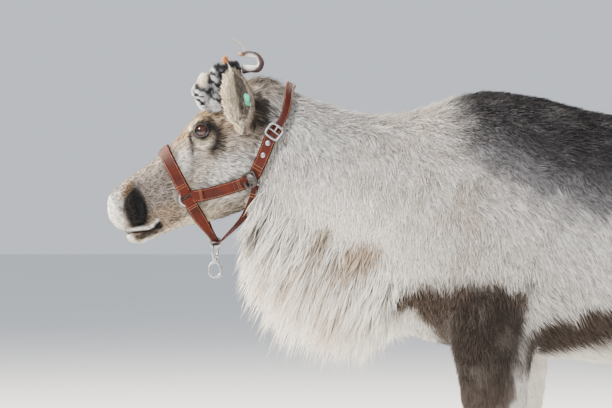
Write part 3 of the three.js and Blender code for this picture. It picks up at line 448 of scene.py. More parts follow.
@dataclass(frozen=True)
class Lump:
    """A rounded swelling of the head: its centre and radii as t, h and y."""

    at: tuple[float, float, float]
    radii: tuple[float, float, float]

    def shell(self, side: int = 1, grow: float = 0.0, detail: int = 40) -> Shell:
        """The swelling at one side, made larger or smaller by grow."""
        turn = np.linspace(0, math.pi, detail // 2)[1:-1, None]
        round_ = np.arange(detail)[None, :] * 2 * math.pi / detail
        a, b, c = (r + grow for r in self.radii)
        rings = HEAD.point(
            self.at[0] + a * np.sin(turn) * np.cos(round_),
            self.at[1] + b * np.sin(turn) * np.sin(round_),
            self.at[2] * side + c * np.cos(turn) + 0 * round_,
        )
        return skinned(rings)


CHEEK = Lump((60, -32, 40), (78, 60, 38))
NOSTRIL_RIM = Lump((284, 10, 34), (27, 31, 20))
LIDS = Lump((91, 63, 51), (35, 28, 25.5))


def tube(points: Sequence, radii: Sequence[float], sides: int, steps: int, flat: float = 1.0) -> Shell:
    """Round bar along a smooth curve.

    Args:
        points: Points that the curve passes.
        radii: Radius at evenly spread places.
        sides: Points round it.
        steps: Rings along it.
        flat: Height of its section as a share of its width.

    Returns:
        The closed bar, with its length and turn on the flat map.
    """
    line = resampled(points, steps)
    ahead = unit(np.gradient(line, axis=0))
    radius = through(np.asarray(radii, float)[:, None], np.linspace(0, len(radii) - 1, steps))[:, 0]
    across = unit(np.cross(ahead[0], [0.31, 0.87, 0.38]))
    turn = np.arange(sides) * 2 * math.pi / sides
    rings = []
    for p, way, r in zip(line, ahead, radius):
        across = unit(across - way * np.dot(across, way))
        up = np.cross(way, across)
        rings.append(p + r * (np.cos(turn)[:, None] * across + flat * np.sin(turn)[:, None] * up))
    return skinned(np.array(rings))


def make_mesh(name: str, shell: Shell) -> bpy.types.Mesh:
    """A mesh in the shared frame from a shell."""
    mesh = bpy.data.meshes.new(name)
    mesh.from_pydata(placed(shell.points), [], shell.faces)
    mesh.shade_smooth()
    if shell.flat is not None:
        corners = np.zeros(len(mesh.loops), np.int32)
        mesh.loops.foreach_get("vertex_index", corners)
        layer = mesh.uv_layers.new(name="Lay")
        layer.data.foreach_set("uv", shell.flat[corners].astype(np.float32).ravel())
    return mesh


def make_object(name: str, mesh: bpy.types.Mesh) -> bpy.types.Object:
    """An object at the origin that holds a mesh."""
    made = bpy.data.objects.new(name, mesh)
    bpy.context.scene.collection.objects.link(made)
    return made


def evaluated_mesh(obj: bpy.types.Object) -> bpy.types.Mesh:
    """The mesh of an object after its modifiers, as plain data."""
    bpy.context.view_layer.update()
    depsgraph = bpy.context.evaluated_depsgraph_get()
    return bpy.data.meshes.new_from_object(obj.evaluated_get(depsgraph))


def baked(obj: bpy.types.Object) -> bpy.types.Object:
    """The object with its modifiers worked into its mesh."""
    mesh = evaluated_mesh(obj)
    obj.modifiers.clear()
    old, obj.data = obj.data, mesh
    bpy.data.meshes.remove(old)
    return obj


def discard(*objects: bpy.types.Object) -> None:
    """Removes helper objects and their meshes."""
    for obj in objects:
        mesh = obj.data
        bpy.data.objects.remove(obj)
        bpy.data.meshes.remove(mesh)


def thinned(obj: bpy.types.Object, triangles: int) -> bpy.types.Object:
    """The object with no more than a number of triangles, fewest where it is flat."""
    count = sum(len(p.vertices) - 2 for p in obj.data.polygons)
    fewer = obj.modifiers.new("Fewer", "DECIMATE")
    fewer.ratio = min(1.0, triangles / count)
    baked(obj)
    obj.data.validate()
    return obj


def fused(name: str, shells: Sequence[Shell], voxel: float) -> bpy.types.Object:
    """Shells that overlap as one closed surface.

    Args:
        name: Name of the object.
        shells: Closed shells.
        voxel: Grain of the surface in millimetres.

    Returns:
        An object with the joined surface.
    """
    obj = make_object(name, make_mesh(name, shells[0].joined(*shells[1:])))
    remesh = obj.modifiers.new("Fuse", "REMESH")
    remesh.mode = "VOXEL"
    remesh.voxel_size = voxel * MM
    return baked(obj)


def combine(obj: bpy.types.Object, operation: str, others: Sequence[bpy.types.Object]) -> bpy.types.Object:
    """Adds other closed objects to one, or takes them from it, and removes them."""
    for other in others:
        cut = obj.modifiers.new("Combine", "BOOLEAN")
        cut.operation = operation
        cut.solver = "MANIFOLD"
        cut.object = other
    baked(obj)
    discard(*others)
    return obj


def vertices_of(mesh: bpy.types.Mesh) -> np.ndarray:
    """Vertex places in metres."""
    values = np.zeros(len(mesh.vertices) * 3, np.float32)
    mesh.vertices.foreach_get("co", values)
    return values.reshape(-1, 3).astype(float)


def normals_of(mesh: bpy.types.Mesh) -> np.ndarray:
    """Vertex normals."""
    values = np.zeros(len(mesh.vertices) * 3, np.float32)
    mesh.vertex_normals.foreach_get("vector", values)
    return values.reshape(-1, 3).astype(float)


def set_vertices(mesh: bpy.types.Mesh, places: np.ndarray) -> None:
    """Moves all vertices to new places in metres."""
    mesh.vertices.foreach_set("co", places.astype(np.float32).ravel())
    mesh.update()


def relax(mesh: bpy.types.Mesh, weight: np.ndarray | float, times: int) -> None:
    """Evens a surface out by drawing each vertex to the middle of its neighbours.

    Args:
        mesh: The mesh to change.
        weight: How far each vertex goes, from 0 to 1.
        times: Number of rounds.
    """
    places = vertices_of(mesh)
    edges = np.zeros(len(mesh.edges) * 2, np.int32)
    mesh.edges.foreach_get("vertices", edges)
    a, b = edges.reshape(-1, 2).T
    ends, others = np.concatenate([a, b]), np.concatenate([b, a])
    count = np.maximum(np.bincount(ends, minlength=len(places)), 1)
    weight = np.broadcast_to(np.asarray(weight, float), (len(places),))[:, None]
    for _ in range(times):
        sums = [np.bincount(ends, places[others, k], len(places)) for k in range(3)]
        places += weight * (np.stack(sums, 1) / count[:, None] - places)
    set_vertices(mesh, places)


def store(mesh: bpy.types.Mesh, name: str, kind: str, domain: str, values: np.ndarray) -> None:
    """Writes an attribute for each vertex, corner or face."""
    attribute = mesh.attributes.new(name, kind, domain)
    key = {"FLOAT": "value", "INT": "value", "FLOAT_COLOR": "color"}.get(kind, "vector")
    number = np.int32 if kind == "INT" else np.float32
    attribute.data.foreach_set(key, np.ascontiguousarray(values, number).ravel())


def corner_values(mesh: bpy.types.Mesh) -> tuple[np.ndarray, np.ndarray]:
    """Each corner's vertex and face."""
    corners = np.zeros(len(mesh.loops), np.int32)
    mesh.loops.foreach_get("vertex_index", corners)
    totals = np.zeros(len(mesh.polygons), np.int32)
    mesh.polygons.foreach_get("loop_total", totals)
    return corners, np.repeat(np.arange(len(totals)), totals)


class Graph:
    """Adds nodes to a tree, each with its settings made before its sockets."""

    def __init__(self, tree: bpy.types.NodeTree) -> None:
        """Keeps the tree."""
        self.tree = tree

    def node(self, kind: str, settings: dict | None = None, inputs: dict | None = None) -> bpy.types.Node:
        """Adds one node.

        Args:
            kind: The node's type.
            settings: Its properties by name; a ramp's stops go under "stops".
            inputs: Values or links of its sockets, by name or number.

        Returns:
            The new node.
        """
        made = self.tree.nodes.new(kind)
        for key, value in (settings or {}).items():
            if key == "stops":
                ramp = made.color_ramp.elements
                while len(ramp) < len(value):
                    ramp.new(0.5)
                for element, (place, colour) in zip(ramp, value):
                    element.position, element.color = place, colour
            else:
                setattr(made, key, value)
        for key, value in (inputs or {}).items():
            socket = made.inputs[key]
            if isinstance(value, Term):
                self.tree.links.new(value.socket, socket)
            else:
                socket.default_value = value
        return made

    def term(self, kind: str, settings: dict | None = None, inputs: dict | None = None, out: int | str = 0) -> "Term":
        """Adds one node and gives one of its outputs."""
        return Term(self, self.node(kind, settings, inputs).outputs[out])

    def mix(self, share: "Term | float", first: object, second: object, blend: str = "MIX") -> "Term":
        """Colour between two colours."""
        settings = {"data_type": "RGBA", "blend_type": blend}
        return self.term("ShaderNodeMix", settings, {"Factor": share, 6: first, 7: second}, out=2)

    def attribute(self, name: str, out: str = "Fac") -> "Term":
        """An attribute of the surface, in a material."""
        return self.term("ShaderNodeAttribute", {"attribute_name": name}, out=out)

    def named(self, name: str, kind: str) -> "Term":
        """An attribute of the geometry, in a geometry tree."""
        return self.term("GeometryNodeInputNamedAttribute", {"data_type": kind}, {"Name": name})

    def noise(self, size: float, where: "Term", detail: float = 3.0, stretch: tuple | None = None) -> "Term":
        """Noise whose grain has a size in metres."""
        if stretch:
            where = self.term("ShaderNodeMapping", {}, {"Vector": where, "Scale": stretch})
        return self.term("ShaderNodeTexNoise", {}, {"Vector": where, "Scale": 1 / size, "Detail": detail})


class Term:
    """One socket that works in expressions; numbers use Math nodes, and vectors Vector Math."""

    def __init__(self, graph: Graph, socket: bpy.types.NodeSocket) -> None:
        """Keeps the graph and the socket."""
        self.graph = graph
        self.socket = socket

    @property
    def vector(self) -> bool:
        """Whether the socket holds a vector."""
        return self.socket.type in {"VECTOR", "ROTATION"}

    def _with(self, operation: str, first: object, second: object) -> "Term":
        """One operation on two values."""
        pair = (first, second)
        vector = any(isinstance(v, tuple) or (isinstance(v, Term) and v.vector) for v in pair)
        if not vector:
            return self.graph.term("ShaderNodeMath", {"operation": operation}, {0: first, 1: second})
        wide = [(v, v, v) if isinstance(v, (int, float)) else v for v in pair]
        return self.graph.term("ShaderNodeVectorMath", {"operation": operation}, {0: wide[0], 1: wide[1]})

    def __add__(self, other: object) -> "Term":
        """Sum."""
        return self._with("ADD", self, other)

    def __radd__(self, other: object) -> "Term":
        """Sum with a number before it."""
        return self._with("ADD", other, self)

    def __sub__(self, other: object) -> "Term":
        """Difference."""
        return self._with("SUBTRACT", self, other)

    def __rsub__(self, other: object) -> "Term":
        """Difference from a number."""
        return self._with("SUBTRACT", other, self)

    def __mul__(self, other: object) -> "Term":
        """Product."""
        return self._with("MULTIPLY", self, other)

    def __rmul__(self, other: object) -> "Term":
        """Product with a number before it."""
        return self._with("MULTIPLY", other, self)

    def __truediv__(self, other: object) -> "Term":
        """Quotient."""
        return self._with("DIVIDE", self, other)

    def __rtruediv__(self, other: object) -> "Term":
        """Quotient of a number."""
        return self._with("DIVIDE", other, self)

    def __pow__(self, other: object) -> "Term":
        """Power."""
        return self._with("POWER", self, other)

    def dot(self, other: object) -> "Term":
        """Dot product of two vectors."""
        inputs = {0: self, 1: other}
        return self.graph.term("ShaderNodeVectorMath", {"operation": "DOT_PRODUCT"}, inputs, out=1)

    def ramp(self, low: float, high: float) -> "Term":
        """0 below low, 1 above high, and an even turn between them."""
        inputs = {"Value": self, "From Min": low, "From Max": high}
        return self.graph.term("ShaderNodeMapRange", {"interpolation_type": "SMOOTHSTEP"}, inputs)


def material(name: str, dress: Callable[[Graph, bpy.types.Node], None]) -> bpy.types.Material:
    """A material whose Principled shader is dressed by a function."""
    made = bpy.data.materials.new(name)
    made.use_nodes = True
    tree = made.node_tree
    dress(Graph(tree), next(n for n in tree.nodes if n.type == "BSDF_PRINCIPLED"))
    return made


def link(graph: Graph, node: bpy.types.Node, **sockets: object) -> None:
    """Sets or links sockets of a node; a name's underscores stand for spaces."""
    for key, value in sockets.items():
        socket = node.inputs[key.replace("_", " ")]
        if isinstance(value, Term):
            graph.tree.links.new(value.socket, socket)
        else:
            socket.default_value = value


def bumped(graph: Graph, height: Term, depth: float, strength: float = 1.0) -> Term:
    """Normal of a surface with a height pattern of a depth in metres."""
    return graph.term("ShaderNodeBump", {}, {"Height": height, "Distance": depth, "Strength": strength})


@dataclass(frozen=True)
class CoatFinish:
    """Hair: the skin's own marking, streaked, with single hairs lighter or darker than others, and roots darkened as
    painted shade between the tufts.
    """

    name: str
    root_painted_shade: float = 0.5
    tip_shade: float = 1.14
    hair: float = 0.004

    def tufts(self) -> bpy.types.Material:
        """Finish of the tufts, which carry their root's marking and their own shade."""

        def dress(graph: Graph, shader: bpy.types.Node) -> None:
            """Darkens roots as painted shade between the tufts, pales the tips and varies tufts."""
            marking = graph.attribute("marking", "Color")
            shade = graph.attribute("shade")
            along = graph.attribute("along")
            ticking = graph.attribute("ticking")
            # Painted shade: roots darkened where the tufts shade each other; the paler tips are the hair's own frosted
            # tips.
            depth = along * (self.tip_shade - self.root_painted_shade) + self.root_painted_shade
            spread = (shade - 0.5) * ticking * 2 + 1
            level = depth * spread
            colour = graph.mix(1.0, marking, level, "MULTIPLY")
            link(graph, shader, Base_Color=colour, Roughness=0.7, Specular_IOR_Level=0.12)
            link(graph, shader, Sheen_Weight=0.05, Sheen_Roughness=0.5)

        return material(self.name + "_tufts", dress)

    def skin(self) -> bpy.types.Material:
        """Finish of the skin, where short hair shows as streaks and bump."""

        def dress(graph: Graph, shader: bpy.types.Node) -> None:
            """Streaks the marking along the lie of the coat."""
            marking = graph.attribute("marking", "Color")
            ticking = graph.attribute("ticking")
            where = graph.term("ShaderNodeTexCoord", out="Object")
            fine = graph.noise(self.hair * 0.4, where, 4.0)
            broad = graph.noise(self.hair * 4, where, 2.0)
            level = (fine - 0.5) * (ticking + 0.25) + (broad - 0.5) * 0.2 + 0.82
            colour = graph.mix(1.0, marking, level, "MULTIPLY")
            link(graph, shader, Base_Color=colour, Roughness=0.85, Specular_IOR_Level=0.2)
            link(graph, shader, Normal=bumped(graph, fine, 0.0012))

        return material(self.name + "_skin", dress)


class TuftTree:
    """Geometry nodes that grow one stretch of coat as solid tufts over a skin.

    The skin carries, for each point: tuft_density (tufts a square metre), tuft_long and tuft_wide
    (metres), tuft_lie (the way a tuft sets out), tuft_bend (where its tip is drawn, as a share of
    its length), tuft_clump (how far tips draw together), and the markings.
    """

    PATCH = 0.003

    def __init__(self) -> None:
        """Builds the tree."""
        tree = bpy.data.node_groups.new("Tufts", "GeometryNodeTree")
        face = tree.interface
        kinds = {
            "Geometry": "NodeSocketGeometry",
            "Zone": "NodeSocketInt",
            "Segments": "NodeSocketInt",
            "Seed": "NodeSocketInt",
            "Share": "NodeSocketFloat",
            "Lock": "NodeSocketFloat",
            "Finish": "NodeSocketMaterial",
        }
        made = {n: face.new_socket(n, in_out="INPUT", socket_type=k) for n, k in kinds.items()}
        self.keys = {name: socket.identifier for name, socket in made.items()}
        face.new_socket("Geometry", in_out="OUTPUT", socket_type="NodeSocketGeometry")
        self.tree = tree
        graph = Graph(tree)
        entry = graph.node("NodeGroupInput")
        given = {name: Term(graph, entry.outputs[name]) for name in kinds}
        points = self._rooted(graph, given)
        grown = self._grown(graph, points, given)
        grown = self._bent(graph, grown, given["Lock"])
        leaves = self._mapped(graph, grown)
        smooth = graph.term("GeometryNodeSetShadeSmooth", {}, {0: leaves})
        painted = graph.term("GeometryNodeSetMaterial", {}, {"Geometry": smooth, "Material": given["Finish"]})
        graph.node("NodeGroupOutput", {}, {0: painted})

    @staticmethod
    def _kept(graph: Graph, geometry: Term, name: str, kind: str, value: Term, domain: str = "POINT") -> Term:
        """Geometry with a value stored under a name."""
        settings = {"data_type": kind, "domain": domain}
        inputs = {"Geometry": geometry, "Name": name, "Value": value}
        return graph.term("GeometryNodeStoreNamedAttribute", settings, inputs)

    def _rooted(self, graph: Graph, given: dict[str, Term]) -> Term:
        """Roots over the skin's zone, each with its own size and shade."""
        zone = graph.named("zone", "INT")
        same = graph.term("FunctionNodeCompare", {"data_type": "INT", "operation": "EQUAL"}, {2: zone, 3: given["Zone"]})
        density = graph.named("tuft_density", "FLOAT") * given["Share"]
        scatter = graph.node(
            "GeometryNodeDistributePointsOnFaces",
            {"distribute_method": "RANDOM"},
            {"Mesh": given["Geometry"], "Selection": same, "Density": density, "Seed": given["Seed"]},
        )
        points = Term(graph, scatter.outputs["Points"])
        place = graph.term("GeometryNodeInputPosition")
        points = self._kept(graph, points, "tuft_root", "FLOAT_VECTOR", place)
        points = self._kept(graph, points, "tuft_up", "FLOAT_VECTOR", Term(graph, scatter.outputs["Normal"]))
        points = self._kept(graph, points, "shade", "FLOAT", self._random(graph, 0.0, 1.0, 7))
        size = graph.named("tuft_long", "FLOAT") * self._random(graph, 0.68, 1.22, 11)
        return self._kept(graph, points, "tuft_size", "FLOAT", size)

    @staticmethod
    def _random(graph: Graph, low: float, high: float, seed: int) -> Term:
        """A number for each root."""
        inputs = {2: low, 3: high, "Seed": seed}
        return graph.term("FunctionNodeRandomValue", {"data_type": "FLOAT"}, inputs, out=1)

    def _tuft(self, graph: Graph, given: dict[str, Term]) -> Term:
        """One straight tuft of unit length, fuller than a cone, with its root sunk."""
        cone = graph.node(
            "GeometryNodeMeshCone",
            {"fill_type": "NONE"},
            {"Vertices": 3, "Side Segments": given["Segments"], "Radius Top": 0.0, "Radius Bottom": 1.0, "Depth": 1.0},
        )
        place = graph.term("GeometryNodeInputPosition")
        apart = graph.node("ShaderNodeSeparateXYZ", {}, {0: place})
        along = Term(graph, apart.outputs[2])
        tuft = self._kept(graph, Term(graph, cone.outputs["Mesh"]), "along", "FLOAT", along)
        tuft = self._kept(graph, tuft, "patch", "FLOAT2", Term(graph, cone.outputs["UV Map"]), "CORNER")
        fuller = (1.02 - along) ** -0.42
        joined = graph.term("ShaderNodeCombineXYZ", {}, {0: fuller, 1: fuller, 2: 1.0})
        lower = place * joined - (0.0, 0.0, 0.08)
        return graph.term("GeometryNodeSetPosition", {}, {"Geometry": tuft, "Position": lower})

    def _grown(self, graph: Graph, points: Term, given: dict[str, Term]) -> Term:
        """A tuft at each root, turned to its lie, as plain mesh."""
        stray = graph.term(
            "FunctionNodeRandomValue",
            {"data_type": "FLOAT_VECTOR"},
            {0: (-0.16, -0.16, -0.16), 1: (0.16, 0.16, 0.16), "Seed": 3},
        )
        lie = graph.named("tuft_lie", "FLOAT_VECTOR") + stray
        turn = graph.term(
            "FunctionNodeAxesToRotation",
            {"primary_axis": "Z", "secondary_axis": "Y"},
            {0: lie, 1: graph.named("tuft_up", "FLOAT_VECTOR")},
        )
        wide = graph.named("tuft_wide", "FLOAT") * self._random(graph, 0.35, 0.65, 19)
        scale = graph.term("ShaderNodeCombineXYZ", {}, {0: wide, 1: wide * 0.6, 2: graph.named("tuft_size", "FLOAT")})
        placed_ = graph.term(
            "GeometryNodeInstanceOnPoints",
            {},
            {"Points": points, "Instance": self._tuft(graph, given), "Rotation": turn, "Scale": scale},
        )
        return graph.term("GeometryNodeRealizeInstances", {}, {0: placed_})

    def _bent(self, graph: Graph, mesh: Term, lock: Term) -> Term:
        """Tufts bent over, drawn into clumps and a little wavy."""
        along = graph.named("along", "FLOAT")
        size = graph.named("tuft_size", "FLOAT")
        root = graph.named("tuft_root", "FLOAT_VECTOR")
        up = graph.named("tuft_up", "FLOAT_VECTOR")
        cell = graph.term("ShaderNodeTexVoronoi", {"feature": "F1"}, {"Vector": root, "Scale": 1.0 / lock}, out="Position")
        pull = cell - root
        flat_pull = pull - up * pull.dot(up)
        wave = graph.term("ShaderNodeTexNoise", {}, {"Vector": root, "Scale": 60.0, "Detail": 1.0}, out="Color")
        sway = graph.term("ShaderNodeVectorMath", {"operation": "SUBTRACT"}, {0: wave, 1: (0.5, 0.5, 0.5)})
        square = along * along
        offset = graph.named("tuft_bend", "FLOAT_VECTOR") * (square * size)
        offset = offset + flat_pull * (square * graph.named("tuft_clump", "FLOAT"))
        offset = offset + sway * (square * size * 0.5)
        return graph.term("GeometryNodeSetPosition", {}, {"Geometry": mesh, "Offset": offset})

    def _mapped(self, graph: Graph, mesh: Term) -> Term:
        """Tufts with a small patch each on the skin's flat map."""
        flat = graph.named("skin_map", "FLOAT_VECTOR")
        patch = graph.named("patch", "FLOAT_VECTOR")
        return self._kept(graph, mesh, "OFBake", "FLOAT2", flat + patch * self.PATCH, "CORNER")

    def grow(
        self,
        host: bpy.types.Object,
        name: str,
        zone: int,
        segments: int,
        lock: float,
        finish: bpy.types.Material,
        share: float = 1.0,
    ) -> bpy.types.Object:
        """Grows one piece of coat.

        Args:
            host: Skin with its fields.
            name: Name of the new piece.
            zone: Zone of the skin to cover.
            segments: Lengths that a tuft bends in.
            lock: Distance between the locks that tips draw into, in metres.
            finish: The tufts' material.
            share: Tufts to grow as a share of the full coat.

        Returns:
            The coat as a plain mesh object.
        """
        nodes = host.modifiers.new("Tufts", "NODES")
        nodes.node_group = self.tree
        values = {"Zone": zone, "Segments": segments, "Seed": 100 + zone, "Share": share, "Lock": lock, "Finish": finish}
        for key, value in values.items():
            nodes[self.keys[key]] = value
        mesh = evaluated_mesh(host)
        host.modifiers.remove(nodes)
        for extra in [a.name for a in mesh.attributes if a.name.startswith(("tuft_", "skin_map", "patch", "zone"))]:
            mesh.attributes.remove(mesh.attributes[extra])
        mesh.name = name
        made = make_object(name, mesh)
        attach(made, BODY)
        log.info("%s: %d triangles", name, sum(len(p.vertices) - 2 for p in mesh.polygons))
        return made


def blob(a: np.ndarray, b: np.ndarray, at: tuple, radii: tuple, turn: float = 0.0, soft: float = 0.45) -> np.ndarray:
    """Soft oval spot.

    Args:
        a: First value of each point.
        b: Second value of each point.
        at: The spot's middle.
        radii: Its two radii.
        turn: Degrees that it is turned by.
        soft: Share of the radius over which it fades.

    Returns:
        1 inside and 0 outside.
    """
    c, s = math.cos(math.radians(turn)), math.sin(math.radians(turn))
    u, v = (a - at[0]) * c + (b - at[1]) * s, -(a - at[0]) * s + (b - at[1]) * c
    return 1 - smooth_step(np.hypot(u / radii[0], v / radii[1]), 1 - soft, 1 + soft)


def stroke(a: np.ndarray, b: np.ndarray, line: Sequence, radius: float) -> np.ndarray:
    """Soft mark along a line of points, 1 on it and falling off over the radius."""
    fine = resampled(line, 24)
    gap = np.full(a.shape, 1e9)
    for p, q in zip(fine[:-1], fine[1:]):
        way = q - p
        share = np.clip(((a - p[0]) * way[0] + (b - p[1]) * way[1]) / np.dot(way, way), 0, 1)
        gap = np.minimum(gap, np.hypot(a - p[0] - share * way[0], b - p[1] - share * way[1]))
    return np.exp(-((gap / radius) ** 2))


def profile(value: np.ndarray, stops: Sequence[tuple[float, float]]) -> np.ndarray:
    """Value on straight lines between stops."""
    places, levels = zip(*stops)
    return np.interp(value, places, levels)


def combed(a: np.ndarray, b: np.ndarray, strokes: Sequence[tuple[float, float, float]], reach: float) -> np.ndarray:
    """Direction of the hair in the side view.

    Args:
        a: First value of each point.
        b: Second value of each point.
        strokes: Places with the hair's angle there, 0 to the rear and 90 straight down.
        reach: How far a stroke rules, in millimetres.

    Returns:
        Unit vectors of two values.
    """
    total = np.zeros((len(a), 2))
    for x, z, angle in strokes:
        weight = 1 / ((a - x) ** 2 + (b - z) ** 2 + reach**2) ** 2
        turn = math.radians(angle)
        total += weight[:, None] * np.array([math.cos(turn), -math.sin(turn)])
    return unit(total)


BODY_COMB = [
    (-560, 1050, 30), (-500, 1030, 40), (-420, 1000, 35), (-330, 1010, 25), (-230, 1030, 20), (-160, 1040, 15),
    (0, 1020, 12), (200, 990, 10), (500, 990, 12), (750, 980, 35), (870, 900, 75),
    (-560, 930, 80), (-520, 860, 88), (-440, 900, 85), (-350, 920, 75), (-250, 950, 55), (-120, 950, 40),
    (50, 930, 40), (300, 900, 38), (550, 900, 42), (760, 880, 60),
    (-600, 800, 95), (-540, 760, 100), (-450, 780, 92), (-350, 800, 88), (-250, 820, 80), (-120, 820, 58),
    (50, 800, 52), (300, 780, 50), (550, 780, 55), (760, 760, 72),
    (-590, 700, 105), (-520, 680, 118), (-430, 690, 112), (-350, 680, 95), (-250, 700, 88), (-130, 690, 80),
    (20, 680, 55), (200, 660, 48), (400, 660, 45), (600, 680, 68), (780, 640, 82),
    (-450, 620, 120), (-370, 600, 110), (-280, 600, 95), (-140, 600, 88), (0, 590, 40), (200, 560, 25),
    (400, 590, 28), (640, 560, 80), (-135, 480, 88), (-135, 300, 90), (-140, 100, 95), (700, 480, 75),
    (780, 350, 95), (770, 200, 92), (760, 80, 95),
]  # fmt: skip
HEAD_COMB = [
    (320, 20, 0), (290, 50, 5), (250, 55, 0), (200, 65, 0), (150, 80, 0), (110, 95, -5), (60, 112, 0),
    (0, 118, 10), (-50, 100, 20), (300, 0, 10), (260, 10, 5), (210, 10, 10), (170, 20, 12), (130, 40, 10),
    (110, 60, 20), (70, 70, 10), (40, 60, 20), (10, 60, 40), (-30, 50, 60), (-60, 40, 70),
    (300, -40, 0), (250, -50, 10), (200, -40, 12), (150, -30, 18), (100, 0, 28), (60, -20, 40),
    (20, -30, 50), (-20, -20, 60), (200, -75, 5), (120, -90, 10), (60, -95, 20), (10, -80, 45), (-40, -50, 65),
]  # fmt: skip


class Palette:
    """The coat's colours."""

    WHITE = linear(0.93, 0.91, 0.87)
    CREAM = linear(0.92, 0.86, 0.76)
    SILVER = linear(0.82, 0.80, 0.775)
    TAN = linear(0.70, 0.57, 0.42)
    BEIGE = linear(0.72, 0.66, 0.59)
    GREY = linear(0.60, 0.555, 0.51)
    MUZZLE = linear(0.50, 0.455, 0.42)
    UMBER = linear(0.34, 0.285, 0.245)
    SLATE = linear(0.43, 0.42, 0.43)
    CHARCOAL = linear(0.27, 0.255, 0.26)
    DARK = linear(0.17, 0.145, 0.13)
    BLACK = linear(0.09, 0.08, 0.085)


@dataclass
class Skinfields:
    """What the coat needs to know at each vertex of a skin, in millimetres."""

    colour: np.ndarray
    ticking: np.ndarray
    long: np.ndarray
    wide: np.ndarray
    cover: np.ndarray
    lie: np.ndarray
    bend: np.ndarray
    clump: np.ndarray

    def paint(self, share: np.ndarray, colour: np.ndarray, ticking: float | None = None) -> None:
        """Lays a colour over a share of the surface."""
        share = np.clip(share, 0, 1)
        self.colour += share[:, None] * (colour - self.colour)
        if ticking is not None:
            self.ticking += share * (ticking - self.ticking)

    def write(self, mesh: bpy.types.Mesh) -> None:
        """Stores the fields on a mesh."""
        colours = np.hstack([self.colour, np.ones((len(self.colour), 1))])
        store(mesh, "marking", "FLOAT_COLOR", "POINT", colours)
        store(mesh, "ticking", "FLOAT", "POINT", self.ticking)
        store(mesh, "tuft_long", "FLOAT", "POINT", self.long * MM)
        store(mesh, "tuft_wide", "FLOAT", "POINT", self.wide * MM)
        density = self.cover / (0.5 * self.long * self.wide * MM * MM)
        store(mesh, "tuft_density", "FLOAT", "POINT", density)
        store(mesh, "tuft_lie", "FLOAT_VECTOR", "POINT", self.lie)
        store(mesh, "tuft_bend", "FLOAT_VECTOR", "POINT", self.bend)
        store(mesh, "tuft_clump", "FLOAT", "POINT", self.clump)


def laid_over(normals: np.ndarray, way: np.ndarray, lift: np.ndarray) -> np.ndarray:
    """Directions that follow the surface and rise from it by an angle in degrees."""
    flat = unit(way - normals * (way * normals).sum(1, keepdims=True))
    turn = np.radians(lift)[:, None]
    return unit(flat * np.cos(turn) + normals * np.sin(turn))


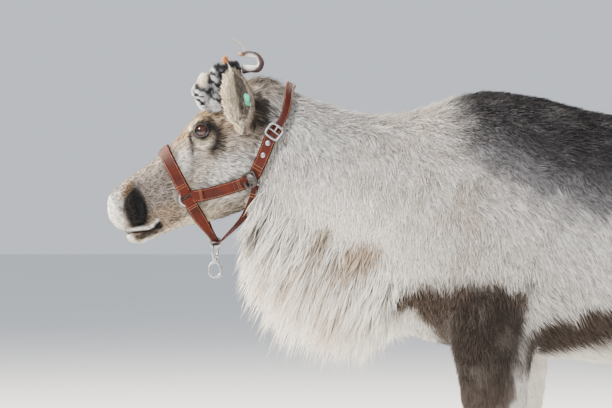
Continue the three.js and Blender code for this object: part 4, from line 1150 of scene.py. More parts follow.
@dataclass
class Body:
    """The skin of head, neck, trunk, legs and tail in one piece."""

    finish: CoatFinish
    head_grain: float = 1.6
    body_grain: float = 7.0
    triangles: int = 186_000
    mouth: tuple = ((246, -49), (254, -54), (271, -54), (290, -47), (308, -40), (330, -37))
    nostril: tuple = ((264, 27), (263, 11), (266, -6), (272, -21), (282, -30))
    nostril_out: tuple = (50, 51, 52, 51, 49)

    NODES = (
        "head", "neck", "torso", "tail",
        *(f"{pair}leg_{side}_{part}" for pair in ("fore", "hind") for side in SIDES for part in ("upper", "lower")),
    )  # fmt: skip

    def outside(self) -> BVHTree:
        """The coat's outer surface over head and neck, that the halter lies on."""
        shells = [SKULL.shell(5, 48, False), CHIN.shell(4, 32, False), TRUNK.shell(4, 64, False)]
        for side in SIDES.values():
            shells += [CHEEK.shell(side), NOSTRIL_RIM.shell(side), LIDS.shell(side)]
        whole = shells[0].joined(*shells[1:])
        return BVHTree.FromPolygons([Vector(p) for p in whole.points], whole.faces)

    def build(self) -> bpy.types.Object:
        """Makes the skin."""
        head = self._head()
        trunk = self._trunk()
        skin = combine(head, "UNION", [trunk])
        skin.name = "skin"
        self._blend_neck(skin.data)
        return thinned(skin, self.triangles)

    def _head(self) -> bpy.types.Object:
        """The head with its brow, lids, nostrils and lips."""
        shells = [SKULL.shell(8, 96, True), CHIN.shell(8, 64, True)]
        for side in SIDES.values():
            shells.append(CHEEK.shell(side, -6))
            shells.append(NOSTRIL_RIM.shell(side, -1.5))
            shells.append(LIDS.shell(side, -2.2))
        head = fused("head_skin", shells, self.head_grain)
        relax(head.data, 0.6, 6)
        self._sculpt(head.data)
        cutters = [self._cutter(f"cut_{i}", shell) for i, shell in enumerate(self._openings())]
        combine(head, "DIFFERENCE", cutters)
        relax(head.data, 0.35, 2)
        return head

    @staticmethod
    def _cutter(name: str, shell: Shell) -> bpy.types.Object:
        """A helper object from a shell."""
        return make_object(name, make_mesh(name, shell))

    def _sculpt(self, mesh: bpy.types.Mesh) -> None:
        """Moves the head's surface along its normals for bone, folds and lips."""
        points = unplaced(vertices_of(mesh))
        normals = normals_of(mesh)
        t, h, y = HEAD.values(points)
        out = np.abs(y)
        flank = smooth_step(out, 14, 30)
        lines = [
            ([(119, 66), (123, 52), (127, 36)], 3.2, -4.0),
            ([(132, 58), (136, 44), (138, 30)], 6.0, 1.2),
            ([(116, 82), (104, 89), (88, 90), (72, 82)], 4.0, 2.0),
            ([(113, 78), (98, 84), (84, 83), (72, 75)], 2.2, -1.5),
            ([(112, 50), (98, 42), (84, 42), (70, 50)], 2.4, -1.4),
            ([(150, 30), (110, 26), (70, 18), (30, 22)], 9.0, 2.2),
            ([(20, -70), (2, -40), (-6, 0), (-4, 30)], 10.0, -3.0),
            ([(48, 84), (40, 70), (34, 56)], 12.0, -3.0),
            ([(200, 8), (230, 4), (252, 0)], 11.0, -2.2),
            ([(252, 36), (264, 40), (278, 32), (288, 14), (295, -8), (296, -24)], 5.0, 2.2),
            ([(250, 26), (250, 4), (256, -16), (266, -31), (282, -35)], 4.0, -2.0),
            ([(246, -44), (262, -48), (284, -42), (305, -33), (322, -30)], 4.0, 2.2),
            ([(252, -61), (276, -62), (296, -57), (314, -48)], 4.5, 1.6),
        ]
        shift = np.zeros(len(t))
        for line, radius, depth in lines:
            shift += stroke(t, h, line, radius) * depth * flank
        shift -= 5.5 * stroke(t, h, self.mouth, 2.2) * smooth_step(t, 240, 250)
        shift -= 2.0 * np.exp(-((y / 3.0) ** 2)) * smooth_step(t, 300, 318) * smooth_step(-h, 0, 12)
        shift += 0.5 * ripple(points, 26, 4) * smooth_step(240 - t, 0, 60)
        set_vertices(mesh, placed(points + normals * shift[:, None]))

    def _openings(self) -> list[Shell]:
        """The eye sockets, the slits between the lids and the nostrils."""
        made = []
        for side in SIDES.values():
            made.append(Lump((EYE.t, EYE.h, EYE.y), (EYE.radius + 0.4,) * 3).shell(side))
            made.append(self._lid_slit(side))
            line = [HEAD.point(t, h, side * y) for (t, h), y in zip(self.nostril, self.nostril_out)]
            made.append(tube(line, [2.5, 7.5, 9.0, 7.5, 3.0], 24, 24))
        return made

    @staticmethod
    def lid_ring(side: int, depth: float, count: int = 40) -> np.ndarray:
        """The almond of the lids' edge at a distance from the spine."""
        turn = np.arange(count) * 2 * math.pi / count
        a = 13.6 * np.cos(turn)
        b = np.where(np.sin(turn) > 0, 13.0, 11.0) * np.sin(turn) * (1 - 0.16 * np.abs(np.cos(turn)) ** 3)
        tilt = math.radians(24)
        t = EYE.t + a * math.cos(tilt) - b * math.sin(tilt)
        h = EYE.h + a * math.sin(tilt) + b * math.cos(tilt)
        return HEAD.point(t, h, depth * side)

    def _lid_slit(self, side: int) -> Shell:
        """A prism through the lids."""
        return skinned(np.array([self.lid_ring(side, 60), self.lid_ring(side, 100)]))

    def _trunk(self) -> bpy.types.Object:
        """Neck, trunk, legs and tail."""
        shells = [TRUNK.shell(6, 96, True), TAIL.shell(6, 32, True), SKULL.shell(4, 64, True)]
        for (pair, side), step in STEPS.items():
            leg = FORELEG if pair == "fore" else HINDLEG
            shells.append(leg.shell(6, 40, True, side, step))
        body = fused("body_skin", shells, self.body_grain)
        relax(body.data, 0.6, 8)
        points = unplaced(vertices_of(body.data))
        normals = normals_of(body.data)
        head_share = smooth_step(nape_line(points[:, 2]) - points[:, 0], -6, 20)
        shift = 1.6 * ripple(points, 170, 9) + 0.8 * ripple(points, 70, 2) - 5 * head_share
        set_vertices(body.data, placed(points + normals * shift[:, None]))
        groin = smooth_step(points[:, 2], 455, 500) * (1 - smooth_step(points[:, 2], 590, 650))
        relax(body.data, 0.6 * groin * smooth_step(points[:, 0], -290, -250), 30)
        return body

    @staticmethod
    def _blend_neck(mesh: bpy.types.Mesh) -> None:
        """Evens out the fold where the head meets the neck."""
        points = unplaced(vertices_of(mesh))
        behind = np.abs(nape_line(points[:, 2]) - points[:, 0])
        relax(mesh, 0.6 * (1 - smooth_step(behind, 18, 45)), 24)


def nape_line(z: np.ndarray) -> np.ndarray:
    """The x at a height where the head ends and the neck begins."""
    return -598 + (z - 760) * 76 / 340


def leg_share(points: np.ndarray) -> np.ndarray:
    """How much each point belongs to a leg rather than the trunk."""
    x, _, z = points.T
    fore = smooth_step(60 - x, 0, 40) * smooth_step(x + 270, 0, 30)
    return smooth_step(610 - z, 0, 120) * np.maximum(fore, smooth_step(x, 500, 580))


def leg_step(points: np.ndarray) -> np.ndarray:
    """How far the leg of each point's side stands from the left foreleg's place, along X."""
    x, y, _ = points.T
    fore = np.where(y < 0, STEPS["fore", LEFT], STEPS["fore", RIGHT])
    hind = np.where(y < 0, STEPS["hind", LEFT], STEPS["hind", RIGHT])
    return np.where(x < 300, fore, hind)


class Markings:
    """Paints the coat's colours, from the front to the rear and from the back to the hooves."""

    def paint(self, fields: Skinfields, points: np.ndarray, normals: np.ndarray, head: np.ndarray) -> None:
        """Paints a skin.

        Args:
            fields: The fields to paint.
            points: Its vertices in millimetres.
            normals: Its normals.
            head: Share of each vertex that belongs to the head.
        """
        rag = 16 * ripple(points, 52, 21) + 9 * ripple(points, 19, 22)
        self._neck(fields, points, rag)
        self._back(fields, points, normals, rag)
        self._legs(fields, points, normals, rag)
        face = Skinfields(**{key: value.copy() for key, value in vars(fields).items()})
        self._face(face, points, rag)
        fields.colour += head[:, None] * (face.colour - fields.colour)
        fields.ticking += head * (face.ticking - fields.ticking)

    @staticmethod
    def _neck(fields: Skinfields, points: np.ndarray, rag: np.ndarray) -> None:
        """Pale neck with a white throat, and the few dark marks on it."""
        x, _, z = points.T
        fields.paint(0.95 * blob(x, z, (-470, 680), (240, 170), 25), Palette.WHITE * 1.16, 0.1)
        fields.paint(0.5 * blob(x, z, (-250, 900), (150, 120), 0) * smooth_step(rag, -18, 14), Palette.BEIGE, 0.35)
        fields.paint(0.55 * blob(x, z, (-180, 760), (120, 90), 0) * smooth_step(rag, -10, 16), Palette.BEIGE, 0.35)
        fields.paint(0.75 * blob(x, z, (-383, 734), (44, 22), 10), Palette.TAN * 0.85, 0.5)
        fields.paint(0.75 * blob(x, z, (-451, 766), (16, 20), -30), Palette.TAN * 0.7, 0.8)
        fields.paint(0.8 * blob(x, z, (-563, 800), (18, 12), 40), Palette.UMBER, 0.8)
        fields.paint(0.5 * blob(x, z, (-470, 690), (120, 46), -38) * smooth_step(rag, -2, 12), Palette.TAN * 1.15, 0.3)
        crest = smooth_step(z, 985, 1030) * smooth_step(-x, 150, 240) * smooth_step(rag, 2, 16)
        fields.paint(0.55 * crest, Palette.GREY, 0.8)
        fields.paint(0.75 * blob(x, z, (-585, 1010), (30, 60), 15) * smooth_step(rag, -12, 10), Palette.DARK, 0.8)

    @staticmethod
    def _back(fields: Skinfields, points: np.ndarray, normals: np.ndarray, rag: np.ndarray) -> None:
        """Charcoal back and rump, silver ribs, the dark line along the flank and a white belly."""
        x, _, z = points.T
        edge = profile(x, [(-200, 905), (-179, 898), (-104, 861), (-59, 833), (-1, 802), (78, 787), (420, 775), (900, 700)])
        dark = smooth_step(z - edge + 1.2 * rag, -44, 48) * smooth_step(x + 0.5 * rag, -238, -155)
        fields.paint(0.9 * dark, Palette.SLATE, 0.6)
        fields.paint(dark * smooth_step(z - edge + 0.8 * rag, 10, 120), Palette.CHARCOAL * 0.6, 0.8)
        fields.paint(0.12 * dark * smooth_step(rag, 0, 24), Palette.SILVER * 0.7)
        line = profile(x, [(-80, 543), (-28, 578), (78, 603), (250, 620), (450, 640)])
        along = smooth_step(x, -110, -60) * (1 - smooth_step(x, 330, 430))
        side = smooth_step(np.abs(normals[:, 1]), 0.1, 0.35)
        fields.paint(along * side * (1 - smooth_step(np.abs(z - line) + 0.5 * rag, 26, 46)), Palette.UMBER * 0.6, 0.6)
        under = smooth_step(line - 32 - z, -8, 18) * smooth_step(x, -60, 10) * (1 - smooth_step(x, 500, 600))
        fields.paint(under, Palette.WHITE, 0.15)
        fields.paint(blob(x, z, (905, 850), (62, 110), 0), Palette.WHITE, 0.2)

    @staticmethod
    def _legs(fields: Skinfields, points: np.ndarray, normals: np.ndarray, rag: np.ndarray) -> None:
        """Dark outsides of the legs, pale insides and rear edges, and pale fetlocks."""
        x, y, z = points.T
        x = x - leg_step(points)
        outer = smooth_step(normals[:, 1] * np.sign(y), -0.25, 0.15)
        fore = 1 - smooth_step(x, 60, 90)
        low = smooth_step(620 - z, 0, 50)
        fields.paint(low * leg_share(points) * (1 - outer), Palette.WHITE, 0.2)
        front = profile(z, [(440, -225), (488, -215), (594, -240), (642, -311), (677, -315)])
        rear = profile(z, [(200, -124), (451, -108), (633, -72), (677, -62)])
        patch = smooth_step(x - front + 0.5 * rag, -8, 12) * smooth_step(rear - x + 0.5 * rag, -8, 12)
        patch *= smooth_step(682 + 0.4 * rag - z, -8, 16) * outer * fore
        fields.paint(patch, Palette.UMBER * 0.85, 0.9)
        fields.paint(0.7 * patch * blob(x, z, (-150, 560), (80, 120), 0), Palette.DARK, 0.5)
        fields.paint(0.3 * patch * smooth_step(rag, 0, 18), Palette.GREY * 0.6)
        shin = smooth_step(430 - z, 0, 60) * fore
        fields.paint(0.75 * shin * outer, Palette.GREY * 0.62, 0.5)
        fields.paint(shin * smooth_step(x, -128, -108), Palette.CREAM, 0.3)
        hind = smooth_step(x, 470, 540) * smooth_step(720 - z, 0, 90)
        fields.paint(0.8 * hind * outer, Palette.GREY * 0.6, 0.5)
        edge = profile(z, [(60, 790), (300, 792), (430, 812), (560, 790), (700, 850)])
        fields.paint(0.9 * hind * smooth_step(x - edge, -16, 10), Palette.CREAM, 0.3)
        fields.paint(0.85 * smooth_step(118 - z, 0, 26) * smooth_step(z, 40, 56), Palette.CREAM, 0.3)

    @staticmethod
    def _face(fields: Skinfields, points: np.ndarray, rag: np.ndarray) -> None:
        """Tan forehead, pale cheeks and chin, dark eye marks, brown muzzle, black nostrils partly darkened as painted
        shade, and painted rim light on the nose front.
        """
        t, h, y = HEAD.values(points)
        side = smooth_step(np.abs(y), 12, 30)
        fields.colour[:] = Palette.BEIGE * 0.80
        fields.ticking[:] = 0.55
        fields.paint(0.85 * blob(t, h, (112, 96), (66, 26), -12), Palette.TAN * 0.9, 0.6)
        fields.paint(0.8 * blob(t, h, (40, 108), (54, 24)), Palette.TAN * 0.75, 0.6)
        fields.paint(0.6 * blob(t, h, (52, 62), (34, 26)) * side, Palette.TAN * 0.62, 0.6)
        fields.paint(0.85 * blob(t, h, (62, -42), (76, 46), 8), Palette.SILVER * 0.92, 0.4)
        fields.paint(0.35 * blob(t, h, (30, 10), (34, 40)) * side, Palette.GREY * 0.9, 0.5)
        fields.paint(0.6 * blob(t, h, (146, 26), (28, 24)), Palette.SILVER * 0.9, 0.5)
        fields.paint(0.9 * smooth_step(t + 0.25 * h, 168, 200), Palette.MUZZLE * 0.9, 0.5)
        fields.paint(0.6 * smooth_step(t, 172, 200) * smooth_step(h, 30, 52), Palette.BEIGE * 0.95, 0.6)
        fields.paint(0.5 * smooth_step(t, 190, 215) * smooth_step(-h, 12, 40), Palette.TAN * 0.62, 0.5)
        fields.paint(stroke(t, h, [(114, 74), (120, 60), (121, 42)], 5.5) * side, Palette.BLACK)
        fields.paint(0.8 * stroke(t, h, [(126, 44), (133, 24), (144, 6)], 9) * side, Palette.GREY * 0.5)
        fields.paint(stroke(t, h, [(74, 72), (69, 58), (70, 42), (80, 30), (91, 25)], 11.5) * side, Palette.BLACK)
        fields.paint(0.75 * stroke(t, h, [(60, 62), (58, 44), (70, 22), (90, 16)], 6) * side, Palette.UMBER * 0.8)
        fields.paint(0.9 * stroke(t, h, [(112, 80), (102, 87), (90, 90)], 4) * side, Palette.CREAM)
        fields.paint(0.85 * stroke(t, h, [(112, 46), (104, 41), (94, 41)], 5) * side, Palette.CREAM)
        fields.paint(blob(t, h, (93, 66), (18.5, 17.5), 10, 0.25) * side, Palette.BLACK * 0.6)
        fields.paint(0.95 * blob(t, h, (-26, 46), (34, 40)) * side * smooth_step(rag, -20, 0), Palette.DARK, 0.6)
        fields.paint(0.7 * blob(t, h, (-42, 96), (26, 26)) * smooth_step(rag, -14, 8), Palette.DARK, 0.6)
        # Painted rim light: white along the nose's front outline, where the light catches its edge.
        front = smooth_step(t - 0.12 * np.abs(h - 4), 296, 309) * smooth_step(h, -34, -18)
        fields.paint(0.95 * front, Palette.WHITE, 0.4)
        fields.paint(0.6 * blob(t, h, (292, 28), (20, 14), -34), Palette.SILVER, 0.6)
        # Dark skin round each nostril, with the shade of its opening painted over and around the slit.
        fields.paint(blob(t, h, (274, -5), (23, 39), 12, 0.3) * side, Palette.DARK * 0.8, 0.7)
        fields.paint(blob(t, h, (282, -27), (22, 13), -20, 0.4) * side, Palette.DARK * 0.6, 0.8)
        slit = [(265, 28), (262, 10), (266, -8), (274, -24)]
        fields.paint(stroke(t, h, slit, 13) * side, Palette.BLACK * 0.35, 0.1)
        fields.paint(0.9 * blob(t, h, (274, 35), (19, 7), -30) * side, Palette.TAN * 0.42, 0.6)
        fields.paint(0.85 * smooth_step(-h, 58, 72) * smooth_step(t, 130, 170), Palette.CREAM * 0.9, 0.3)
        lip = [(249, -43), (256, -47.5), (271, -48), (290, -41), (308, -33), (326, -29)]
        fields.paint(stroke(t, h, lip, 3.6) * side, Palette.WHITE, 0.2)
        fields.paint(stroke(t, h, Body.mouth, 3.0) * side, Palette.BLACK, 0.2)
        fields.paint(blob(t, h, (252, -54), (9, 7), 20) * side, Palette.BLACK, 0.2)
        fields.paint(0.85 * blob(t, h, (278, -60), (30, 7), 14) * side, Palette.DARK, 0.8)
        fields.paint(0.95 * smooth_step(t, 262, 292) * smooth_step(-h, 60, 67), Palette.WHITE, 0.3)
        fields.paint(0.9 * smooth_step(t, 300, 312) * smooth_step(-h, 38, 44), Palette.WHITE, 0.4)


@dataclass(frozen=True)
class Ruff:
    """The long hair along the underside of the neck: its lengths and how far forward it hangs."""

    lengths: tuple = ((8.8, 80), (9.4, 122), (10, 138), (11, 116), (11.5, 82), (12.2, 44), (12.6, 30))
    forward: tuple = ((8.8, 0.25), (9.4, 0.5), (10, 0.62), (11, 0.62), (12.2, 0.4))
    spread: float = 78.0

    def places(self, points: np.ndarray) -> tuple[np.ndarray, np.ndarray]:
        """Where points lie on the neck: the slice, and the angle from its underside."""
        slices, angles = np.linspace(8, 13, 101), np.arange(-180, 181, 4.0) - 90
        grid = TRUNK.surface(slices, angles, -13).reshape(-1, 3)
        tree = KDTree(len(grid))
        for index, place in enumerate(grid):
            tree.insert(place, index)
        tree.balance()
        found = np.array([tree.find(point)[1] for point in points])
        return slices[found // len(angles)], angles[found % len(angles)] + 90

    def apply(self, fields: Skinfields, points: np.ndarray, normals: np.ndarray, head: np.ndarray) -> np.ndarray:
        """Lengthens and turns the hair of the throat.

        Args:
            fields: Fields to change.
            points: Vertices in millimetres.
            normals: Their normals.
            head: Share of each vertex that belongs to the head.

        Returns:
            How much each vertex belongs to the ruff.
        """
        share = np.zeros(len(points))
        near = np.flatnonzero((points[:, 0] < -190) & (points[:, 2] < 900) & (points[:, 2] > 480) & (head < 0.98))
        slices, angles = self.places(points[near])
        part = smooth_step(self.spread - np.abs(angles), 0, 20) * smooth_step(slices, 8.5, 9.1)
        part *= smooth_step(12.7 - slices, 0, 0.5) * (1 - smooth_step(head[near], 0.2, 0.8))
        share[near] = part
        off = 1 - 0.55 * (angles / self.spread) ** 2
        full = profile(slices, self.lengths) * off
        fields.long[near] += part * (np.maximum(full, fields.long[near]) - fields.long[near])
        fields.wide[near] += part * (3.6 - fields.wide[near])
        fields.clump[near] += part * (0.85 - fields.clump[near])
        fields.cover[near] += part * (6.6 - fields.cover[near])
        ahead = profile(slices, self.forward)
        down = np.stack([-ahead, 0.22 * np.sign(points[near, 1]) * np.abs(angles) / 90, -np.ones(len(near))], 1)
        lie = unit(unit(down) * 0.85 + normals[near] * 0.38)
        fields.lie[near] = unit(fields.lie[near] + part[:, None] * (lie - fields.lie[near]))
        bend = np.array([0, 0, -0.25]) - 0.18 * normals[near]
        fields.bend[near] += part[:, None] * (bend - fields.bend[near])
        return share


@dataclass
class Coat:
    """The coat of head, neck, trunk, legs and tail: its lengths, lie and colours, and its tufts."""

    skin: bpy.types.Object
    finish: CoatFinish
    tree: TuftTree
    most: int = 176_000
    body_long: float = 21.0
    belly_long: float = 36.0
    crest_long: float = 32.0

    SEGMENTS = {Zone.FACE_LEFT: 1, Zone.FACE_RIGHT: 1, Zone.FORELEGS: 1, Zone.HINDLEGS: 1, Zone.RUFF_LEFT: 4, Zone.RUFF_RIGHT: 4}

    def build(self) -> list[bpy.types.Object]:
        """Dresses the skin and grows the coat."""
        mesh = self.skin.data
        points, normals = unplaced(vertices_of(mesh)), normals_of(mesh)
        head = smooth_step(nape_line(points[:, 2]) - points[:, 0], -25, 25)
        fields = self._fields(points, normals, head)
        Markings().paint(fields, points, normals, head)
        ruff = Ruff().apply(fields, points, normals, head)
        fields.write(mesh)
        self._zones(mesh, points, head, ruff)
        self._unwrap(mesh, points, head)
        mesh.materials.clear()
        mesh.materials.append(self.finish.skin())
        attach(self.skin, BODY)
        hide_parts(*Body.NODES)
        tufts = self.finish.tufts()
        share = 1.0
        return [self._grown(zone, tufts, share) for zone in Zone]

    def _fields(self, points: np.ndarray, normals: np.ndarray, head: np.ndarray) -> Skinfields:
        """Lengths, widths and lie of the coat, before its markings."""
        count = len(points)
        x, y, z = points.T
        t, h, _ = HEAD.values(points)
        legs = leg_share(points)
        belly = smooth_step(-normals[:, 2], 0.2, 0.8) * smooth_step(x, -80, 0) * (1 - smooth_step(x, 520, 620))
        crest = smooth_step(normals[:, 2], 0.4, 0.9) * (1 - smooth_step(x, -260, -160))
        long = self.body_long + belly * (self.belly_long - self.body_long) + crest * (self.crest_long - self.body_long)
        shank = profile(z, [(20, 15), (60, 17), (100, 15), (160, 10), (300, 10), (440, 15), (560, 22), (640, 28)])
        long += legs * (shank - long)
        face = profile(t, [(-60, 30), (-20, 28), (20, 20), (80, 13), (150, 11), (200, 8), (250, 5), (320, 4)])
        face += 4 * smooth_step(-20 - h, 0, 25) * (1 - smooth_step(t, 130, 170))
        long += head * (face - long)
        wide = 1.9 + legs * (1.5 - 1.9)
        wide += head * (profile(t, [(-40, 2.2), (80, 1.7), (200, 1.3), (320, 0.9)]) - wide)
        cover = 1.6 + np.maximum(legs, head) * (1.1 - 1.6)
        lift = 34 + legs * (22 - 34)
        lift += head * (profile(t, [(0, 30), (200, 24)]) - lift)
        way = combed(x, z, BODY_COMB, 60)
        way = np.stack([way[:, 0], np.zeros(count), way[:, 1]], 1)
        turn = combed(t, h, HEAD_COMB, 18)
        c, s = math.cos(HEAD.droop), math.sin(HEAD.droop)
        back, down = turn[:, 0], turn[:, 1]
        on_head = np.stack([back * c - down * s, np.zeros(count), back * s + down * c], 1)
        way = unit(way + head[:, None] * (on_head - way))
        way += 0.25 * np.stack([ripple(points, 90, 31), ripple(points, 90, 32), ripple(points, 90, 33)], 1)
        lie = laid_over(normals, way, lift)
        bend = -0.24 * normals
        clump = 0.42 * (1 - head) * (1 - 0.6 * legs) + 0.36 * head
        ticking = 0.62 + 0.0 * legs
        colour = np.tile(Palette.SILVER, (count, 1))
        return Skinfields(colour, ticking, long, wide, cover, lie, bend, clump)

    def _zones(self, mesh: bpy.types.Mesh, points: np.ndarray, head: np.ndarray, ruff: np.ndarray) -> None:
        """Gives each face the zone of its middle."""
        corners, faces = corner_values(mesh)
        count = np.bincount(faces)
        x, y, z = (np.bincount(faces, points[corners, k]) / count for k in range(3))
        head = np.bincount(faces, head[corners]) / count
        ruff = np.bincount(faces, ruff[corners]) / count
        right = (y > 0).astype(np.int32)
        zone = np.select([x < -330, x < 0, x < 400], [Zone.NECK_LEFT.value, Zone.SHOULDER_LEFT.value, Zone.RIBS_LEFT.value], Zone.RUMP_LEFT.value) + right
        low = (z < 500) & (x > -260)
        zone = np.where(low & (x < 300), Zone.FORELEGS.value, zone)
        zone = np.where(low & (x >= 300), Zone.HINDLEGS.value, zone)
        zone = np.where(ruff > 0.35, Zone.RUFF_LEFT.value + right, zone)
        zone = np.where(head > 0.5, Zone.FACE_LEFT.value + right, zone)
        store(mesh, "zone", "INT", "FACE", zone)

    def _unwrap(self, mesh: bpy.types.Mesh, points: np.ndarray, head: np.ndarray) -> None:
        """Lays the skin out flat: the trunk round its middle line, the head round its own, each leg apart."""
        x, y, z = points.T
        t, h, _ = HEAD.values(points)
        foot = leg_share(points) * smooth_step(560 - z, 0, 60)
        centre = np.where(x < 300, -130, profile(z, [(60, 735), (300, 777), (430, 772), (560, 700)])) + leg_step(points)
        corners, faces = corner_values(mesh)
        count = np.bincount(faces)
        on_head = (np.bincount(faces, head[corners]) / count > 0.5)[faces]
        on_leg = (np.bincount(faces, foot[corners]) / count > 0.5)[faces]
        turns = [np.arctan2(y, z - 780), np.arctan2(y, h - 10), np.arctan2(y - LEG_Y * np.sign(y), x - centre)]
        turn = np.select([on_head, on_leg], [turns[1][corners], turns[2][corners]], turns[0][corners]) / (2 * math.pi)
        first = np.full(len(count), -9.0)
        first[faces[::-1]] = turn[::-1]
        turn += np.round(first[faces] - turn)
        block = np.where(x < 300, 0, 2)[corners] + (y > 0)[corners]
        u = np.select([on_head, on_leg], [(t[corners] + 110) / 980, 0.52 + 0.115 * block + 0.1 * (turn + 0.5)], (x[corners] + 660) / 1640)
        v = np.select([on_head, on_leg], [0.03 + 0.3 * (turn + 0.5), 0.03 + z[corners] / 1900], 0.38 + 0.58 * (turn + 0.5))
        flat = np.stack([np.clip(u, 0.01, 0.99), np.clip(v, 0.01, 0.99)], 1)
        store(mesh, "skin_map", "FLOAT2", "CORNER", flat)
        layer = mesh.uv_layers.new(name="OFBake")
        layer.data.foreach_set("uv", flat.astype(np.float32).ravel())

    def _grown(self, zone: Zone, finish: bpy.types.Material, share: float) -> bpy.types.Object:
        """Grows one zone's tufts, thinned to about a set number of triangles at most."""
        mesh = self.skin.data
        segments = self.SEGMENTS.get(zone, 2)
        zones = np.zeros(len(mesh.polygons), np.int32)
        mesh.attributes["zone"].data.foreach_get("value", zones)
        areas = np.zeros(len(mesh.polygons), np.float32)
        mesh.polygons.foreach_get("area", areas)
        density = np.zeros(len(mesh.vertices), np.float32)
        mesh.attributes["tuft_density"].data.foreach_get("value", density)
        corners, faces = corner_values(mesh)
        on_face = np.bincount(faces, density[corners]) / np.bincount(faces)
        expected = float((on_face * areas)[zones == zone.value].sum()) * 3 * (2 * segments - 1)
        share = min(share, self.most / max(expected, 1.0))
        lock = 0.032 if zone in (Zone.RUFF_LEFT, Zone.RUFF_RIGHT) else 0.011
        return self.tree.grow(self.skin, "coat_" + zone.name.lower(), zone.value, segments, lock, finish, share)


def lay_flat(mesh: bpy.types.Mesh, turn: np.ndarray, along: np.ndarray) -> None:
    """Maps a surface flat by the turn round it and the share along it, given for each vertex."""
    corners, faces = corner_values(mesh)
    u = turn[corners]
    first = np.zeros(len(mesh.polygons))
    first[faces[::-1]] = u[::-1]
    u = u + np.round(first[faces] - u)
    flat = np.clip(np.stack([0.15 + 0.7 * u, 0.05 + 0.9 * along[corners]], 1), 0.005, 0.995)
    store(mesh, "skin_map", "FLOAT2", "CORNER", flat)
    layer = mesh.uv_layers.new(name="OFBake")
    layer.data.foreach_set("uv", flat.astype(np.float32).ravel())


def dressed(obj: bpy.types.Object, finish: bpy.types.Material, nodes: Sequence[str]) -> bpy.types.Object:
    """The object with its material, riding on the body and shown in place of CAD nodes."""
    obj.data.materials.clear()
    obj.data.materials.append(finish)
    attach(obj, BODY)
    if nodes:
        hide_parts(*nodes)
    log.info("%s: %d faces", obj.name, len(obj.data.polygons))
    return obj


def painted(mesh: bpy.types.Mesh, colour: np.ndarray) -> None:
    """Stores a colour for each vertex."""
    store(mesh, "marking", "FLOAT_COLOR", "POINT", np.hstack([colour, np.ones((len(colour), 1))]))


@dataclass(frozen=True)
class EyeFinish:
    """A wet dark eye with a brown iris and a pupil that lies level."""

    iris: float = 0.66
    pupil: tuple = (0.36, 0.25)

    def colours(self, u: np.ndarray, v: np.ndarray) -> np.ndarray:
        """Colours at places on the eyeball, as shares of its radius from the pupil."""
        r, turn = np.hypot(u, v), np.arctan2(v, u)
        fibres = 0.85 + 0.3 * np.sin(turn * 37 + 2 * np.sin(turn * 11)) * smooth_step(r, 0.2, 0.5)
        brown = linear(0.29, 0.115, 0.07) * fibres[:, None] * (1.15 - 0.6 * r[:, None])
        colour = np.tile(linear(0.13, 0.10, 0.09), (len(u), 1))
        ring = (1 - smooth_step(r, self.iris - 0.05, self.iris + 0.04))[:, None]
        colour += ring * (brown - colour)
        hole = (1 - smooth_step((u / self.pupil[0]) ** 2 + (v / self.pupil[1]) ** 2, 0.8, 1.2))[:, None]
        colour += hole * (0.004 - colour)
        white = smooth_step(r, 0.82, 0.95)[:, None]
        return colour + 0.35 * white * (linear(0.42, 0.34, 0.31) - colour)

    def ball(self) -> bpy.types.Material:
        """Finish of the eyeball."""

        def dress(graph: Graph, shader: bpy.types.Node) -> None:
            """A glossy wet coat over the iris."""
            link(graph, shader, Base_Color=graph.attribute("marking", "Color"), Roughness=0.06)
            link(graph, shader, Specular_IOR_Level=0.35, Coat_Weight=0.5, Coat_Roughness=0.02)

        return material("eye_wet", dress)

    @staticmethod
    def rim() -> bpy.types.Material:
        """Finish of the bare rims of the lids."""

        def dress(graph: Graph, shader: bpy.types.Node) -> None:
            """Dark skin, finely creased."""
            where = graph.term("ShaderNodeTexCoord", out="Object")
            crease = graph.noise(0.0012, where, 3.0)
            colour = graph.mix(crease, rgba(linear(0.10, 0.085, 0.085)), rgba(linear(0.21, 0.18, 0.175)))
            link(graph, shader, Base_Color=colour, Roughness=0.38, Normal=bumped(graph, crease, 0.0005))

        return material("lid_skin", dress)


